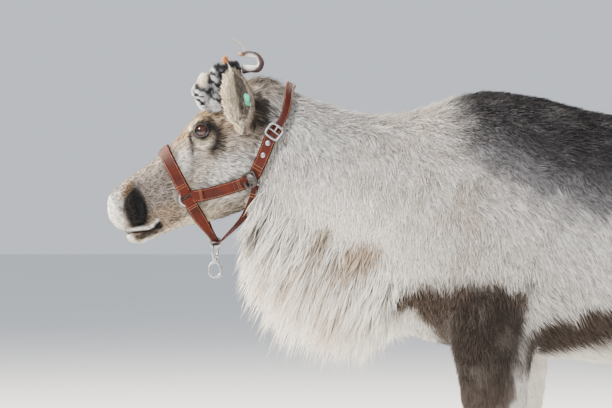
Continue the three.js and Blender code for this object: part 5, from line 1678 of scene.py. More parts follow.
@dataclass
class Eye:
    """One eyeball with the bare rims of its lids and its lashes."""

    side: int
    name: str
    finish: EyeFinish
    rim: float = 1.9
    lash: float = 11.0
    lashes: int = 26

    def build(self) -> None:
        """Makes and dresses the eye."""
        gaze = HEAD.direction(0.30, 0.10, self.side)
        level = unit(np.cross([0, 0, 1.0], gaze))
        up = np.cross(gaze, level)
        turn = np.arange(72) * 2 * math.pi / 72
        rings = []
        for polar in np.linspace(0.02, math.pi - 0.02, 60):
            radius = EYE.radius - 0.4 + 0.7 * math.exp(-((polar / 0.5) ** 2))
            ring = np.cos(turn)[:, None] * level + np.sin(turn)[:, None] * up
            rings.append(EYE.centre(self.side) + radius * (math.cos(polar) * gaze + math.sin(polar) * ring))
        shell = skinned(np.array(rings))
        mesh = make_mesh(f"eyeball_{self.name}", shell)
        off = (shell.points - EYE.centre(self.side)) / EYE.radius
        front = (off @ gaze) > 0
        u, v = np.where(front, off @ level, 1.0), np.where(front, off @ up, 1.0)
        painted(mesh, self.finish.colours(u, v))
        dressed(make_object(mesh.name, mesh), self.finish.ball(), [f"eye_{self.name}"])
        self._rim()

    def _edge(self, count: int, lift: float) -> np.ndarray:
        """Points along the lids' edge, just over the eyeball."""
        ring = Body.lid_ring(self.side, 0.0, count)
        centre = EYE.centre(self.side)
        flat = (ring - centre) * [1, 0, 1]
        out = np.sqrt(np.maximum((EYE.radius + lift) ** 2 - (flat**2).sum(1), 16))
        return centre + flat + out[:, None] * [0, self.side, 0]

    def _rim(self) -> None:
        """A soft dark edge round the opening, with lashes on the upper lid."""
        count = 48
        edge = self._edge(count, 1.3)
        centre = EYE.centre(self.side)
        ahead = unit(np.roll(edge, -1, 0) - np.roll(edge, 1, 0))
        out = unit(edge - centre)
        across = np.cross(ahead, out)
        turn = np.arange(12) * 2 * math.pi / 12
        rings = edge[:, None] + self.rim * (
            np.cos(turn)[None, :, None] * across[:, None] + 0.8 * np.sin(turn)[None, :, None] * out[:, None]
        )
        shell = skinned(rings, loop=True)
        upper = np.linspace(0.12, 0.46, self.lashes)
        fine = np.vstack([edge, edge[:1]])
        roots = through(fine, upper * count)
        ways = unit(unit(roots - centre) + HEAD.direction(0.0, 1.0, 0.0) * 0.35 + [0, 0.5 * self.side, 0])
        hairs = []
        for k, (root, way) in enumerate(zip(roots, ways)):
            long = self.lash * (0.75 + 0.25 * math.sin(math.pi * k / (self.lashes - 1)))
            droop = HEAD.direction(0.45, -0.30, 0.0) * long
            line = [root + way * long * s + droop * s * s for s in (0, 0.35, 0.7, 1.0)]
            hairs.append(tube(line, [0.42, 0.36, 0.22, 0.05], 5, 6))
        mesh = make_mesh(f"eyelids_{self.name}", shell.joined(*hairs))
        dressed(make_object(mesh.name, mesh), self.finish.rim(), [])


@dataclass(frozen=True)
class EarShape:
    """One ear: a leaf rolled into a cup, in the head frame."""

    root: tuple = (8, 47, 65)
    length: float = 106
    width: float = 31
    wall: float = 5
    to_tip: tuple = (-22, 86, 56)
    facing: tuple = (0.35, -0.1, 0.93)

    def axes(self, side: int) -> tuple[np.ndarray, np.ndarray, np.ndarray, np.ndarray]:
        """Root, the way to the tip, the way its cup faces, and the way across."""
        along = HEAD.direction(*self.to_tip)
        facing = HEAD.direction(*self.facing)
        facing = unit(facing - along * np.dot(facing, along))
        mirror = np.array([1, side, 1])
        along, facing = along * mirror, facing * mirror
        return HEAD.point(self.root[0], self.root[1], self.root[2] * side), along, facing, unit(np.cross(along, facing))

    def points(self, side: int, f: np.ndarray, turn: np.ndarray, wall: np.ndarray | float) -> np.ndarray:
        """Points at shares of the length and of the turn, at a distance out from the cup's middle wall."""
        root, along, facing, across = self.axes(side)
        f, turn, wall = np.broadcast_arrays(*(np.asarray(v, float) for v in (f, turn, wall)))
        at = np.clip(f, 0, 0.995)
        half = self.width * (0.6 + 0.4 * np.sin(np.minimum(1, at * 1.7) * math.pi / 2)) * (1 - at**3.2) ** 0.62
        open_ = 168 - 98 * np.minimum(1, at * 2.4) ** 0.7
        radius = half / np.sin(np.radians(np.minimum(90, open_))) + wall
        angle = np.radians(turn * open_)
        depth = half * 0.75
        out = depth - radius * np.cos(angle) - (half - depth) * 0.4
        return (
            root + (f * self.length)[..., None] * along + out[..., None] * facing
            + (radius * np.sin(angle))[..., None] * across
        )  # fmt: skip


EAR = EarShape()


@dataclass
class Ear:
    """One ear with its fur: dark outside, hairy and pale along the rims."""

    side: int
    name: str
    finish: CoatFinish
    tree: TuftTree
    steps: int = 44
    rim: int = 24

    def build(self) -> None:
        """Makes the ear and grows its hair."""
        f = np.linspace(-0.16, 0.99, self.steps)[:, None]
        turn = np.linspace(-1, 1, self.rim)[None, :]
        thin = EAR.wall * (1 - 0.55 * np.clip(f, 0, 1))
        outer = EAR.points(self.side, f, turn, -0.8)
        inner = EAR.points(self.side, f, -0.94 * turn, -thin)
        shell = skinned(np.concatenate([outer, inner], 1))
        mesh = make_mesh(f"ear_{self.name}_skin", shell)
        ring = 2 * self.rim
        along = np.append(np.repeat(f[:, 0], ring), [f[0, 0], f[-1, 0]])
        place = np.tile(np.concatenate([turn[0], -turn[0]]), self.steps)
        inside = np.tile(np.repeat([0.0, 1.0], self.rim), self.steps)
        place, inside = np.append(place, [0, 0]), np.append(inside, [0, 0])
        points, normals = shell.points, normals_of(mesh)
        _, way, facing, across = EAR.axes(self.side)
        ahead = np.sign(-across[0]) * place
        edge = smooth_step(np.abs(place), 0.62, 0.9)
        front, rear = edge * (ahead > 0), edge * (ahead < 0)
        rag = ripple(points, 16, 41)
        base = np.where(inside[:, None] > 0.5, Palette.GREY * 0.38, Palette.UMBER * 0.8)
        fields = Skinfields(
            colour=base.copy(),
            ticking=np.full(len(points), 0.45),
            long=10 + 6 * edge + 7 * inside * (1 - edge),
            wide=np.full(len(points), 1.5),
            cover=np.full(len(points), 3.0),
            lie=unit(way * 0.9 + normals * 0.4 + across * (place * 0.15)[:, None]),
            bend=-0.2 * normals,
            clump=np.full(len(points), 0.55),
        )
        wide_front = smooth_step(ahead, 0.12, 0.42) * np.maximum(inside, edge)
        fields.paint(wide_front, Palette.CREAM * 1.12, 0.14)
        fields.paint(0.75 * rear, Palette.BEIGE * 0.8, 0.4)
        fields.paint(0.5 * inside * smooth_step(rag, 0.3, 1.0), Palette.BEIGE, 0.5)
        fields.paint(0.8 * smooth_step(along, 0.86, 0.97) * (1 - inside), Palette.DARK, 0.3)
        fields.paint(0.7 * front * smooth_step(rag, 0.75, 1.0), Palette.BLACK)
        fields.long += 7 * wide_front
        inward = inside * front
        fields.lie = unit(fields.lie - across * (0.5 * inward * np.sign(place))[:, None] + facing * (0.45 * edge)[:, None])
        fields.write(mesh)
        store(mesh, "zone", "INT", "FACE", np.zeros(len(mesh.polygons)))
        lay_flat(mesh, np.append(np.tile(np.arange(ring) / ring, self.steps), [0, 0]), np.clip(along, 0, 1))
        host = dressed(make_object(mesh.name, mesh), self.finish.skin(), [f"ear_{self.name}"])
        self.tree.grow(host, f"ear_{self.name}_hair", 0, 2, 0.009, self.finish.tufts(), 1.0)


@dataclass(frozen=True)
class AntlerShape:
    """Stumps of new antler in the head frame: a thick beam that leans back, a brow bud and a knob."""

    beam: tuple = ((36, 84, 42), (32, 104, 44), (20, 127, 46), (8, 146, 47), (-10, 146, 48), (-25, 137, 48))
    beam_radii: tuple = (26, 27, 24, 21, 17, 12)
    brow: tuple = ((54, 98, 41), (55, 114, 43), (49, 131, 46), (40, 148, 48), (34, 156, 49))
    brow_radii: tuple = (14, 21, 27, 19, 9)
    knob: Lump = Lump((-11, 164, 50), (6, 8, 6))
    tine: tuple = (
        (-30, 134, 48), (-44, 128, 49), (-57, 121, 50), (-68, 129, 51), (-67, 143, 51), (-57, 153, 51), (-37, 163, 50),
    )  # fmt: skip
    tine_radii: tuple = (9, 7, 6.5, 6, 5.5, 5, 3.2)
    filament: tuple = ((-50, 158, 51), (-52, 173, 51), (-49, 182, 50), (-43, 193, 49))

    def path(self, rows: tuple, side: int) -> list[np.ndarray]:
        """Points of a path at one side."""
        return [HEAD.point(t, h, y * side) for t, h, y in rows]


@dataclass
class Antler:
    """One stump in dark velvet with frosted hair, and at the left the thin tine that hooks over."""

    side: int
    name: str
    finish: CoatFinish
    tree: TuftTree
    shape: AntlerShape = AntlerShape()
    grain: float = 1.7

    def build(self) -> None:
        """Makes the stump and its hair."""
        shape, side = self.shape, self.side
        beam = tube(shape.path(shape.beam, side), shape.beam_radii, 40, 40)
        brow = tube(shape.path(shape.brow, side), shape.brow_radii, 40, 40)
        host = fused(f"antler_{self.name}_velvet", [beam, brow, shape.knob.shell(side)], self.grain)
        mesh = host.data
        relax(mesh, 0.6, 4)
        points, normals = unplaced(vertices_of(mesh)), normals_of(mesh)
        lumps = 1.5 * ripple(points, 22, 51) + 0.8 * ripple(points, 9, 52) - 1.4
        points = points + normals * lumps[:, None]
        set_vertices(mesh, placed(points))
        t, h, y = HEAD.values(points)
        rag = ripple(points, 15, 53)
        base = np.tile(linear(0.08, 0.08, 0.11), (len(points), 1))
        count = len(points)
        fields = Skinfields(
            colour=base,
            ticking=np.full(count, 0.8),
            long=np.full(count, 6.0),
            wide=np.full(count, 1.1),
            cover=np.full(count, 1.3),
            lie=unit(HEAD.direction(0.0, 1.0, 0.0) * 0.55 + normals * 0.7),
            bend=-0.15 * normals,
            clump=np.full(count, 0.3),
        )
        ahead = smooth_step(normals @ HEAD.direction(1.0, -0.15, 0.0), -0.1, 0.7)
        low = 1 - smooth_step(h, 112, 150)
        fields.paint(0.9 * ahead * smooth_step(rag + 0.6 * low, -0.2, 0.5), linear(0.86, 0.86, 0.86), 0.4)
        fields.paint(0.6 * smooth_step(112 - h, 0, 14) * smooth_step(rag, -0.7, 0.2), Palette.GREY, 0.6)
        fields.paint(0.45 * smooth_step(rag, 0.35, 0.8), linear(0.62, 0.60, 0.58), 0.6)
        fields.paint(0.8 * blob(t, h, (-11, 167), (9, 9)), linear(0.72, 0.47, 0.26), 0.3)
        rim = blob(t, h, (44, 158), (10, 20), 20) * smooth_step(np.abs(y), 30, 48)
        fields.paint(0.8 * rim, Palette.CREAM, 0.3)
        fields.long += 3.5 * smooth_step(116 - h, 0, 16)
        fields.write(mesh)
        store(mesh, "zone", "INT", "FACE", np.zeros(len(mesh.polygons)))
        lay_flat(mesh, np.arctan2(y - 46 * side, t - 20) / (2 * math.pi) + 0.5, np.clip((h - 50) / 130, 0, 1))
        nodes = [f"antler_{self.name}_beam", f"antler_{self.name}_brow"]
        dressed(host, self.finish.skin(), nodes)
        self.tree.grow(host, f"antler_{self.name}_hair", 0, 1, 0.006, self.finish.tufts(), 1.0)
        if side == LEFT:
            self._tine()

    def _tine(self) -> None:
        """The hooked tine, dark outside and pale inside its curl, with one stray thread of velvet."""
        path = self.shape.path(self.shape.tine, self.side)
        body = tube(path, self.shape.tine_radii, 32, 72)
        thread = tube(self.shape.path(self.shape.filament, self.side), [1.0, 0.8, 0.7, 0.4], 8, 24)
        mesh = make_mesh("antler_left_hook", body.joined(thread))
        points = unplaced(vertices_of(mesh))
        t, h, _ = HEAD.values(points)
        curl = 1 - smooth_step(np.hypot(t + 50, h - 139), 11, 19)
        colour = np.tile(linear(0.20, 0.12, 0.11), (len(points), 1))
        colour += curl[:, None] * (linear(0.88, 0.85, 0.80) - colour)
        tip = smooth_step(t, -46, -38) * smooth_step(h, 146, 156)
        colour += 0.8 * tip[:, None] * (linear(0.80, 0.62, 0.46) - colour)
        colour[len(body.points) :] = linear(0.78, 0.60, 0.42)
        colour *= (1 + 0.14 * ripple(points, 6, 61))[:, None]
        painted(mesh, np.clip(colour, 0, 1))

        def dress(graph: Graph, shader: bpy.types.Node) -> None:
            """Short matted velvet."""
            where = graph.term("ShaderNodeTexCoord", out="Object")
            nap = graph.noise(0.0014, where, 4.0)
            colour = graph.mix(1.0, graph.attribute("marking", "Color"), nap * 0.7 + 0.62, "MULTIPLY")
            link(graph, shader, Base_Color=colour, Roughness=0.62, Normal=bumped(graph, nap, 0.0009))

        dressed(make_object(mesh.name, mesh), material("velvet_hook", dress), ["antler_left_tine"])


@dataclass(frozen=True)
class HornFinish:
    """Dark hoof horn with growth lines and paler scuffed patches."""

    line: float = 0.006

    def make(self) -> bpy.types.Material:
        """Finish of hooves and dewclaws."""

        def dress(graph: Graph, shader: bpy.types.Node) -> None:
            """Lines level round the hoof."""
            where = graph.term("ShaderNodeTexCoord", out="Object")
            high = Term(graph, graph.node("ShaderNodeSeparateXYZ", {}, {0: where}).outputs[2])
            stir = graph.noise(0.02, where, 3.0)
            rings = graph.term("ShaderNodeMath", {"operation": "SINE"}, {0: (high + stir * 0.004) * (2 * math.pi / self.line)})
            worn = graph.noise(0.004, where, 5.0)
            tone = (rings * 0.5 + 0.5) * 0.25 + worn * 0.5
            colour = graph.mix(tone, rgba(linear(0.13, 0.115, 0.11)), rgba(linear(0.33, 0.29, 0.26)))
            link(graph, shader, Base_Color=colour, Roughness=worn * 0.25 + 0.38)
            link(graph, shader, Normal=bumped(graph, rings * 0.3 + worn, 0.0008))

        return material("hoof_horn", dress)


@dataclass
class Hooves:
    """Both toes and both dewclaws of every foot."""

    finish: HornFinish = HornFinish()
    heel: float = -124
    long: float = 98
    wide: float = 43
    high: float = 58
    splay: float = 7
    apart: float = 25
    sides: int = 56
    claw_at: tuple = (-114, 24, 74)
    claw_long: float = 44
    claw_back: float = 18
    claw_radii: tuple = (15, 13, 5)

    def build(self) -> None:
        """Makes every hoof."""
        horn = self.finish.make()
        for (pair, side), step in STEPS.items():
            shift = step + (HIND_SHIFT if pair == "hind" else 0)
            where = "left" if side == LEFT else "right"
            for outer, part in ((True, "outer"), (False, "inner")):
                foot = f"{pair}_{where}_{part}"
                for kind, shell in (("hoof", self._toe), ("dewclaw", self._claw)):
                    mesh = make_mesh(f"horn_{kind}_{foot}", shell(side, outer, shift))
                    dressed(make_object(mesh.name, mesh), horn, [f"{kind}_{foot}"])

    def _toe(self, side: int, outer: bool, shift: float) -> Shell:
        """One toe: a pointed sole with a wall that rises to a sloping coronet."""
        sign = 1 if outer else -1
        turn = np.arange(self.sides) * 2 * math.pi / self.sides
        c, s = np.cos(turn), np.sin(turn)
        half = self.wide / 2 * np.where(s > 0, 1.12, 0.8)
        nose = np.where(c < 0, 1, 0.86)
        bend = 5 * (1 - c * c) * np.where(s > 0, 1, -0.4)
        levels = np.array([(0.955, 0, 0), (0.97, 0, 0), (1, 0, 5), (0.9, 5, 30), (0.74, 12, 58)], float)
        cos, sin = math.cos(math.radians(-self.splay)), math.sin(math.radians(-self.splay))
        rings = []
        for scale, back, z in [levels[0], *through(levels[1:], np.linspace(0, 3, 14))]:
            x = -self.long / 2 + back + self.long / 2 * c * scale * nose
            y = (half * s + bend) * scale
            x, y = x * cos - y * sin, x * sin + y * cos
            lean = z / self.high
            across = LEG_Y + sign * (self.apart * (1 - 0.16 * lean) + y)
            slope = smooth_step(np.array(z), 40, 58) * (x + self.long / 2) * 0.12
            ring = np.stack([x + self.heel + shift, across * side, np.maximum(z - slope, 0) + 0 * x], 1)
            rings.append(ring)
        return skinned(np.array(rings))

    def _claw(self, side: int, outer: bool, shift: float) -> Shell:
        """One dewclaw, a blunt cone that points down and back."""
        x, y, z = self.claw_at
        y = (LEG_Y + (1 if outer else -1) * y) * side
        line = [(x + shift + self.claw_back * f, y, z - self.claw_long * f * 0.9) for f in (0, 0.5, 1)]
        return tube(line, self.claw_radii, 24, 16)


@dataclass(frozen=True)
class LeatherFinish:
    """Reddish-brown bridle leather, worn paler in patches and dark at the edges."""

    def make(self) -> bpy.types.Material:
        """Finish of the straps; "edge" is 1 along their cut edges."""

        def dress(graph: Graph, shader: bpy.types.Node) -> None:
            """Grain, wear and darker edges."""
            where = graph.term("ShaderNodeTexCoord", out="Object")
            grain = graph.noise(0.0011, where, 4.0)
            wear = graph.noise(0.022, where, 5.0).ramp(0.42, 0.72)
            edge = graph.attribute("edge")
            colour = graph.mix(wear * 0.6, rgba(linear(0.21, 0.07, 0.045)), rgba(linear(0.32, 0.12, 0.07)))
            colour = graph.mix(edge * 0.75, colour, rgba(linear(0.15, 0.06, 0.045)))
            link(graph, shader, Base_Color=colour, Roughness=wear * 0.18 + 0.55, Specular_IOR_Level=0.12)
            link(graph, shader, Normal=bumped(graph, grain + wear * 0.4, 0.0005))

        return material("leather_bridle", dress)


@dataclass(frozen=True)
class SteelFinish:
    """Plain steel with fine scratches, dulled in places."""

    name: str = "steel"
    tone: tuple = (0.62, 0.62, 0.64)
    rough: float = 0.24

    def make(self) -> bpy.types.Material:
        """Finish of rings, rivets, buckle and swivel."""

        def dress(graph: Graph, shader: bpy.types.Node) -> None:
            """Scratches and dull spots."""
            where = graph.term("ShaderNodeTexCoord", out="Object")
            dull = graph.noise(0.006, where, 5.0)
            scratch = graph.noise(0.0009, where, 2.0, (1, 1, 6))
            colour = graph.mix(dull.ramp(0.45, 0.75) * 0.5, rgba(linear(*self.tone)), rgba(linear(0.38, 0.36, 0.34)))
            link(graph, shader, Base_Color=colour, Metallic=1.0, Roughness=dull * 0.22 + self.rough)
            link(graph, shader, Normal=bumped(graph, scratch, 0.0002))

        return material(self.name, dress)


class RowTree:
    """Geometry nodes that set one small part at every point of a host, turned to two directions."""

    def __init__(self) -> None:
        """Builds the tree."""
        tree = bpy.data.node_groups.new("Row", "GeometryNodeTree")
        kinds = {
            "Geometry": "NodeSocketGeometry",
            "Part": "NodeSocketObject",
            "Size": "NodeSocketFloat",
            "Finish": "NodeSocketMaterial",
        }
        made = {n: tree.interface.new_socket(n, in_out="INPUT", socket_type=k) for n, k in kinds.items()}
        self.keys = {name: socket.identifier for name, socket in made.items()}
        tree.interface.new_socket("Geometry", in_out="OUTPUT", socket_type="NodeSocketGeometry")
        self.tree = tree
        graph = Graph(tree)
        entry = graph.node("NodeGroupInput")
        given = {name: Term(graph, entry.outputs[name]) for name in kinds}
        points = graph.term("GeometryNodeMeshToPoints", {}, {0: given["Geometry"]})
        part = graph.term("GeometryNodeObjectInfo", {}, {0: given["Part"]}, out="Geometry")
        turn = graph.term(
            "FunctionNodeAxesToRotation",
            {"primary_axis": "Z", "secondary_axis": "X"},
            {0: graph.named("out", "FLOAT_VECTOR"), 1: graph.named("ahead", "FLOAT_VECTOR")},
        )
        inputs = {"Points": points, "Instance": part, "Rotation": turn, "Scale": given["Size"]}
        row = graph.term("GeometryNodeInstanceOnPoints", {}, inputs)
        plain = graph.term("GeometryNodeRealizeInstances", {}, {0: row})
        smooth = graph.term("GeometryNodeSetShadeSmooth", {}, {0: plain})
        done = graph.term("GeometryNodeSetMaterial", {}, {"Geometry": smooth, "Material": given["Finish"]})
        graph.node("NodeGroupOutput", {}, {0: done})

    def lay(
        self, name: str, part: Shell, places: np.ndarray, ahead: np.ndarray, out: np.ndarray, finish: bpy.types.Material
    ) -> bpy.types.Object:
        """Sets a part at each place.

        Args:
            name: Name of the new piece.
            part: The part in millimetres about its own middle.
            places: Where each one goes, in millimetres.
            ahead: The way that its X axis points.
            out: The way that its Z axis points.
            finish: Its material.

        Returns:
            One plain mesh object.
        """
        mesh = bpy.data.meshes.new(name + "_part")
        mesh.from_pydata(part.points, [], part.faces)
        single = make_object(mesh.name, mesh)
        rows = bpy.data.meshes.new(name)
        rows.from_pydata(placed(places), [], [])
        store(rows, "ahead", "FLOAT_VECTOR", "POINT", ahead)
        store(rows, "out", "FLOAT_VECTOR", "POINT", out)
        host = make_object(name, rows)
        nodes = host.modifiers.new("Row", "NODES")
        nodes.node_group = self.tree
        for key, value in {"Part": single, "Size": MM, "Finish": finish}.items():
            nodes[self.keys[key]] = value
        baked(host)
        discard(single)
        return host


@dataclass(frozen=True)
class StrapLine:
    """A strap's way over the coat: its points and the directions that it faces."""

    points: np.ndarray
    outs: np.ndarray

    def at(self, share: float) -> tuple[np.ndarray, np.ndarray, np.ndarray]:
        """Point, way ahead and way out at a share of the length."""
        rows = resampled(np.hstack([self.points, self.outs]), 401)
        index = int(round(share * 400))
        ahead = unit(rows[min(index + 2, 400), :3] - rows[max(index - 2, 0), :3])
        across = unit(np.cross(ahead, rows[index, 3:]))
        return rows[index, :3], ahead, unit(np.cross(across, ahead))


@dataclass
class Strap:
    """A leather strap drawn taut over the coat, doubled at its ends."""

    line: StrapLine
    wide: float = 24
    free: float = 0
    steps: int = 26
    slim: tuple = ()
    thick: float = 3.6
    off: float = 1.6
    fold: float = 6.6
    fold_long: float = 26
    lanes: int = 9
    finer: int = 6

    def build(self, name: str, coat: BVHTree) -> tuple[bpy.types.Mesh, np.ndarray, np.ndarray]:
        """Lays the strap.

        Args:
            name: Name of the mesh.
            coat: The coat's outer surface.

        Returns:
            The mesh, and for each ring the points and directions of the strap's outer face.
        """
        rows = resampled(np.hstack([self.line.points, self.line.outs]), self.steps + 1)
        points, facing = rows[:, :3], unit(rows[:, 3:])
        long = np.linalg.norm(np.diff(points, axis=0), axis=1).sum()
        ahead = unit(np.gradient(points, axis=0))
        across = unit(np.cross(ahead, facing))
        out = unit(np.cross(across, ahead))
        loose = np.clip((self.free - np.abs(points[:, 1])) / 12, 0, 1)
        spread = np.linspace(-1, 1, self.lanes)
        half = self.wide / 2 * (1 - 0.42 * loose)
        if self.slim:
            at = np.linspace(0, 1, self.steps + 1)
            half *= 1 - 0.36 * smooth_step(at, self.slim[0], self.slim[0] + 0.03) * (1 - smooth_step(at, *self.slim[1:]))
        lanes = points[:, None] + across[:, None] * (spread[None, :, None] * half[:, None, None])
        for k, i in np.ndindex(lanes.shape[:2]):
            if loose[k] == 0:
                lanes[k, i] = on_coat(coat, lanes[k, i] + 60 * out[k], lanes[k, i]) + self.off * out[k]
        for _ in range(30):
            span = (lanes[:-2] + lanes[2:]) / 2 - lanes[1:-1]
            lift = np.maximum(0, (span * out[1:-1, None]).sum(-1))
            lanes[1:-1] += lift[..., None] * out[1:-1, None]
        index = np.linspace(0, self.steps, self.steps * self.finer + 1)
        inner = through(lanes.reshape(len(lanes), -1), index).reshape(len(index), self.lanes, 3)
        out = unit(through(out, index))
        share = index / self.steps
        near = np.minimum(share, 1 - share) * long
        slack = np.interp(index, np.arange(len(loose)), loose)
        thick = np.where(near < self.fold_long, self.fold, self.thick - slack)
        thick = np.convolve(np.pad(thick, 1, mode="edge"), [0.25, 0.5, 0.25], mode="valid")
        edge = np.abs(spread) > 0.99
        crown = 1 - 0.34 * np.abs(spread) ** 10 + 0.03 * np.cos(spread * math.pi)
        outer = inner + (thick[:, None] * crown[None])[..., None] * out[:, None]
        inner = inner + (thick[:, None] * 0.24 * edge[None])[..., None] * out[:, None]
        shell = skinned(np.concatenate([inner, outer[:, ::-1]], 1))
        mesh = make_mesh(name, shell)
        rim = np.tile(np.concatenate([np.abs(spread), np.abs(spread)]), len(index))
        store(mesh, "edge", "FLOAT", "POINT", np.append(smooth_step(rim, 0.8, 1.0), [1, 1]))
        return mesh, outer, out


def on_coat(coat: BVHTree, guide: np.ndarray, core: np.ndarray) -> np.ndarray:
    """The coat's surface between a guide point outside it and a point within."""
    way = unit(core - guide)
    hit = coat.ray_cast(Vector(guide - 100 * way), Vector(way))[0]
    return np.array(hit) if hit else core + 50 * way


def wire_loop(centre: np.ndarray, across: np.ndarray, up: np.ndarray, wide: float, high: float, wire: float,
              corner: float = 0.5, taper: float = 0.0) -> Shell:  # fmt: skip
    """A closed loop of round wire.

    Args:
        centre: Its middle.
        across: The way of its width.
        up: The way of its height.
        wide: Half of its outer width.
        high: Half of its outer height.
        wire: Radius of the wire.
        corner: 1 for an oval, and less for squarer corners.
        taper: How much narrower it is at the top.

    Returns:
        The closed loop.
    """
    turn = np.arange(72) * 2 * math.pi / 72
    c, s = np.cos(turn)[:, None], np.sin(turn)[:, None]

    def square(value: np.ndarray) -> np.ndarray:
        """Squared-off sine or cosine."""
        return np.sign(value) * np.abs(value) ** corner

    width, height = wide - wire, high - wire
    line = centre + across * width * square(c) * (1 - taper * square(s)) + up * height * square(s)
    line = resampled(np.vstack([line, line[:1]]), 97)[:-1]
    ahead = unit(np.roll(line, -1, 0) - np.roll(line, 1, 0))
    out = unit(np.cross(across, up))
    side = np.cross(ahead, out)
    round_ = np.arange(14) * 2 * math.pi / 14
    rings = line[:, None] + wire * (np.cos(round_)[None, :, None] * side[:, None] + np.sin(round_)[None, :, None] * out)
    return skinned(rings, loop=True)


@dataclass
class Halter:
    """Leather headcollar: noseband, cheeks, crown with a buckle, chin and throat straps, rings and swivel."""

    coat: BVHTree
    rows: RowTree
    nose_ring: tuple = (178, -33, 14, 2.6, 1.0)
    junction: tuple = (50, -62, 13.5, 2.6, 0.5)
    cheek: tuple = ((169, -35), (140, -45), (106, -53), (80, -58), (60, -61))
    crown: tuple = (
        (44, -56, 130, 44, -56), (24, -41, 130, 24, -41), (4, -25, 130, 4, -25), (-16, -8, 130, -16, -8),
        (-36, 4, 130, -36, 0), (-58, 18, 130, -52, 8), (-84, 52, 100, -62, 6), (-106, 92, 54, -72, 6),
        (-116, 110, 0, -80, 6),
    )  # fmt: skip
    chin: tuple = ((178, -43, 90, -20), (177, -64, 80, -25), (176, -92, 62, -25))
    chin_drop: tuple = ((173, -106, 24), (171.5, -121, 9))
    throat: tuple = ((51, -73, 110, -73),)
    throat_drop: tuple = ((62, -85, 73), (80, -101, 61), (106, -117, 44), (136, -127, 25), (165, -135, 8))
    buckle_at: float = 0.19
    buckle_size: tuple = (30, 32, 2.3)
    rivets_at: tuple = (0.09, 0.14)
    swivel_x: float = -659
    loop_z: float = 753

    def build(self) -> None:
        """Makes straps, stitches and metal."""
        leather = LeatherFinish().make()
        steel = SteelFinish().make()
        dark = SteelFinish("steel_dull", (0.26, 0.25, 0.24), 0.4).make()
        straps = {"noseband": Strap(self._noseband(), steps=18), "crown_strap": Strap(self._crown(), steps=26, slim=(0.2, 0.78, 0.82))}
        for name, side in SIDES.items():
            straps[f"cheek_strap_{name}"] = Strap(self._cheek(side), steps=12)
        straps["chin_strap"] = Strap(self._hanging(self.chin, self.chin_drop, 2.4), free=34, steps=20)
        straps["throat_strap"] = Strap(self._hanging(self.throat, self.throat_drop, -2.4), wide=19.2, free=86, steps=20)
        for name, strap in straps.items():
            mesh, faces, outs = strap.build("leather_" + name, self.coat)
            dressed(make_object(mesh.name, mesh), leather, [name])
            self._stitches(name, faces, outs)
        for name, side in SIDES.items():
            for kind, ring, finish in (("nose_ring", self.nose_ring, steel), ("junction_ring", self.junction, dark)):
                centre, ahead, up = self._seat(ring, side)
                loop = wire_loop(centre, ahead, up, ring[2] + ring[3], ring[2] + ring[3], ring[3], ring[4])
                self._metal(f"steel_{kind}_{name}", loop, finish, [f"{kind}_{name}"])
        self._rivets(steel)
        self._buckle(steel)
        self._swivel(steel)

    @staticmethod
    def _metal(name: str, shell: Shell, finish: bpy.types.Material, nodes: Sequence[str]) -> None:
        """Makes and dresses one piece of metal."""
        dressed(make_object(name, make_mesh(name, shell)), finish, nodes)

    def _laid(self, guides: Sequence, side: int) -> StrapLine:
        """Guide points drawn in to the coat."""
        cores = np.array([HEAD.point(t, h, 0) for _, _, _, t, h in guides])
        points = np.array([on_coat(self.coat, HEAD.point(g[0], g[1], g[2] * side), c) for g, c in zip(guides, cores)])
        return StrapLine(points, unit(points - cores))

    def _cheek(self, side: int) -> StrapLine:
        """From the nose ring back to the ring below the ear."""
        line = self._laid([(t, h, 130, t, h) for t, h in self.cheek], side)
        return StrapLine(line.points, np.tile([0.0, side, 0.0], (len(line.points), 1)))

    def _noseband(self) -> StrapLine:
        """Over the nose from ring to ring."""
        t = self.nose_ring[0] - 2
        turns = np.radians(-112 + 224 * np.arange(13) / 12)
        return self._laid([(t, -8 + 130 * math.cos(a), 130 * math.sin(a), t, -8) for a in turns], 1)

    def _crown(self) -> StrapLine:
        """From the left ring over the nape to the right one."""
        left, right = self._laid(self.crown, LEFT), self._laid(self.crown[:-1], RIGHT)
        points = np.vstack([left.points, right.points[::-1]])
        outs = np.vstack([0.75 * left.outs + [0, -0.25, 0], 0.75 * right.outs[::-1] + [0, 0.25, 0]])
        return StrapLine(points, unit(outs))

    def _hanging(self, path: Sequence, drop: Sequence, lift: float) -> StrapLine:
        """From both rings down to the swivel's loop."""
        guides = [(t, h, y, t, core) for t, h, y, core in path]
        left, right = self._laid(guides, LEFT), self._laid(guides, RIGHT)
        down = HEAD.direction(0, -1, 0)
        hang = {s: np.array([HEAD.point(t, h, y * s) for t, h, y in drop]) for s in (LEFT, RIGHT)}
        turn = {
            s: unit(np.array([down * (1 - min(1, y / 80)) + np.array([0, s, 0]) * min(1, y / 80) for _, _, y in drop]))
            for s in (LEFT, RIGHT)
        }
        middle = np.array([[self.swivel_x, 0, self.loop_z + lift]])
        points = np.vstack([left.points, hang[LEFT], middle, hang[RIGHT][::-1], right.points[::-1]])
        outs = np.vstack([left.outs, turn[LEFT], [[0, 0, -1]], turn[RIGHT][::-1], right.outs[::-1]])
        return StrapLine(points, outs)

    def _seat(self, ring: tuple, side: int) -> tuple[np.ndarray, np.ndarray, np.ndarray]:
        """Centre and axes of a ring that lies on the coat."""
        t, h, radius, wire, _ = ring

        def at(dt: float, dh: float) -> np.ndarray:
            """The coat beside the ring's middle."""
            return on_coat(self.coat, HEAD.point(t + dt, h + dh, 110 * side), HEAD.point(t + dt, h + dh, 0))

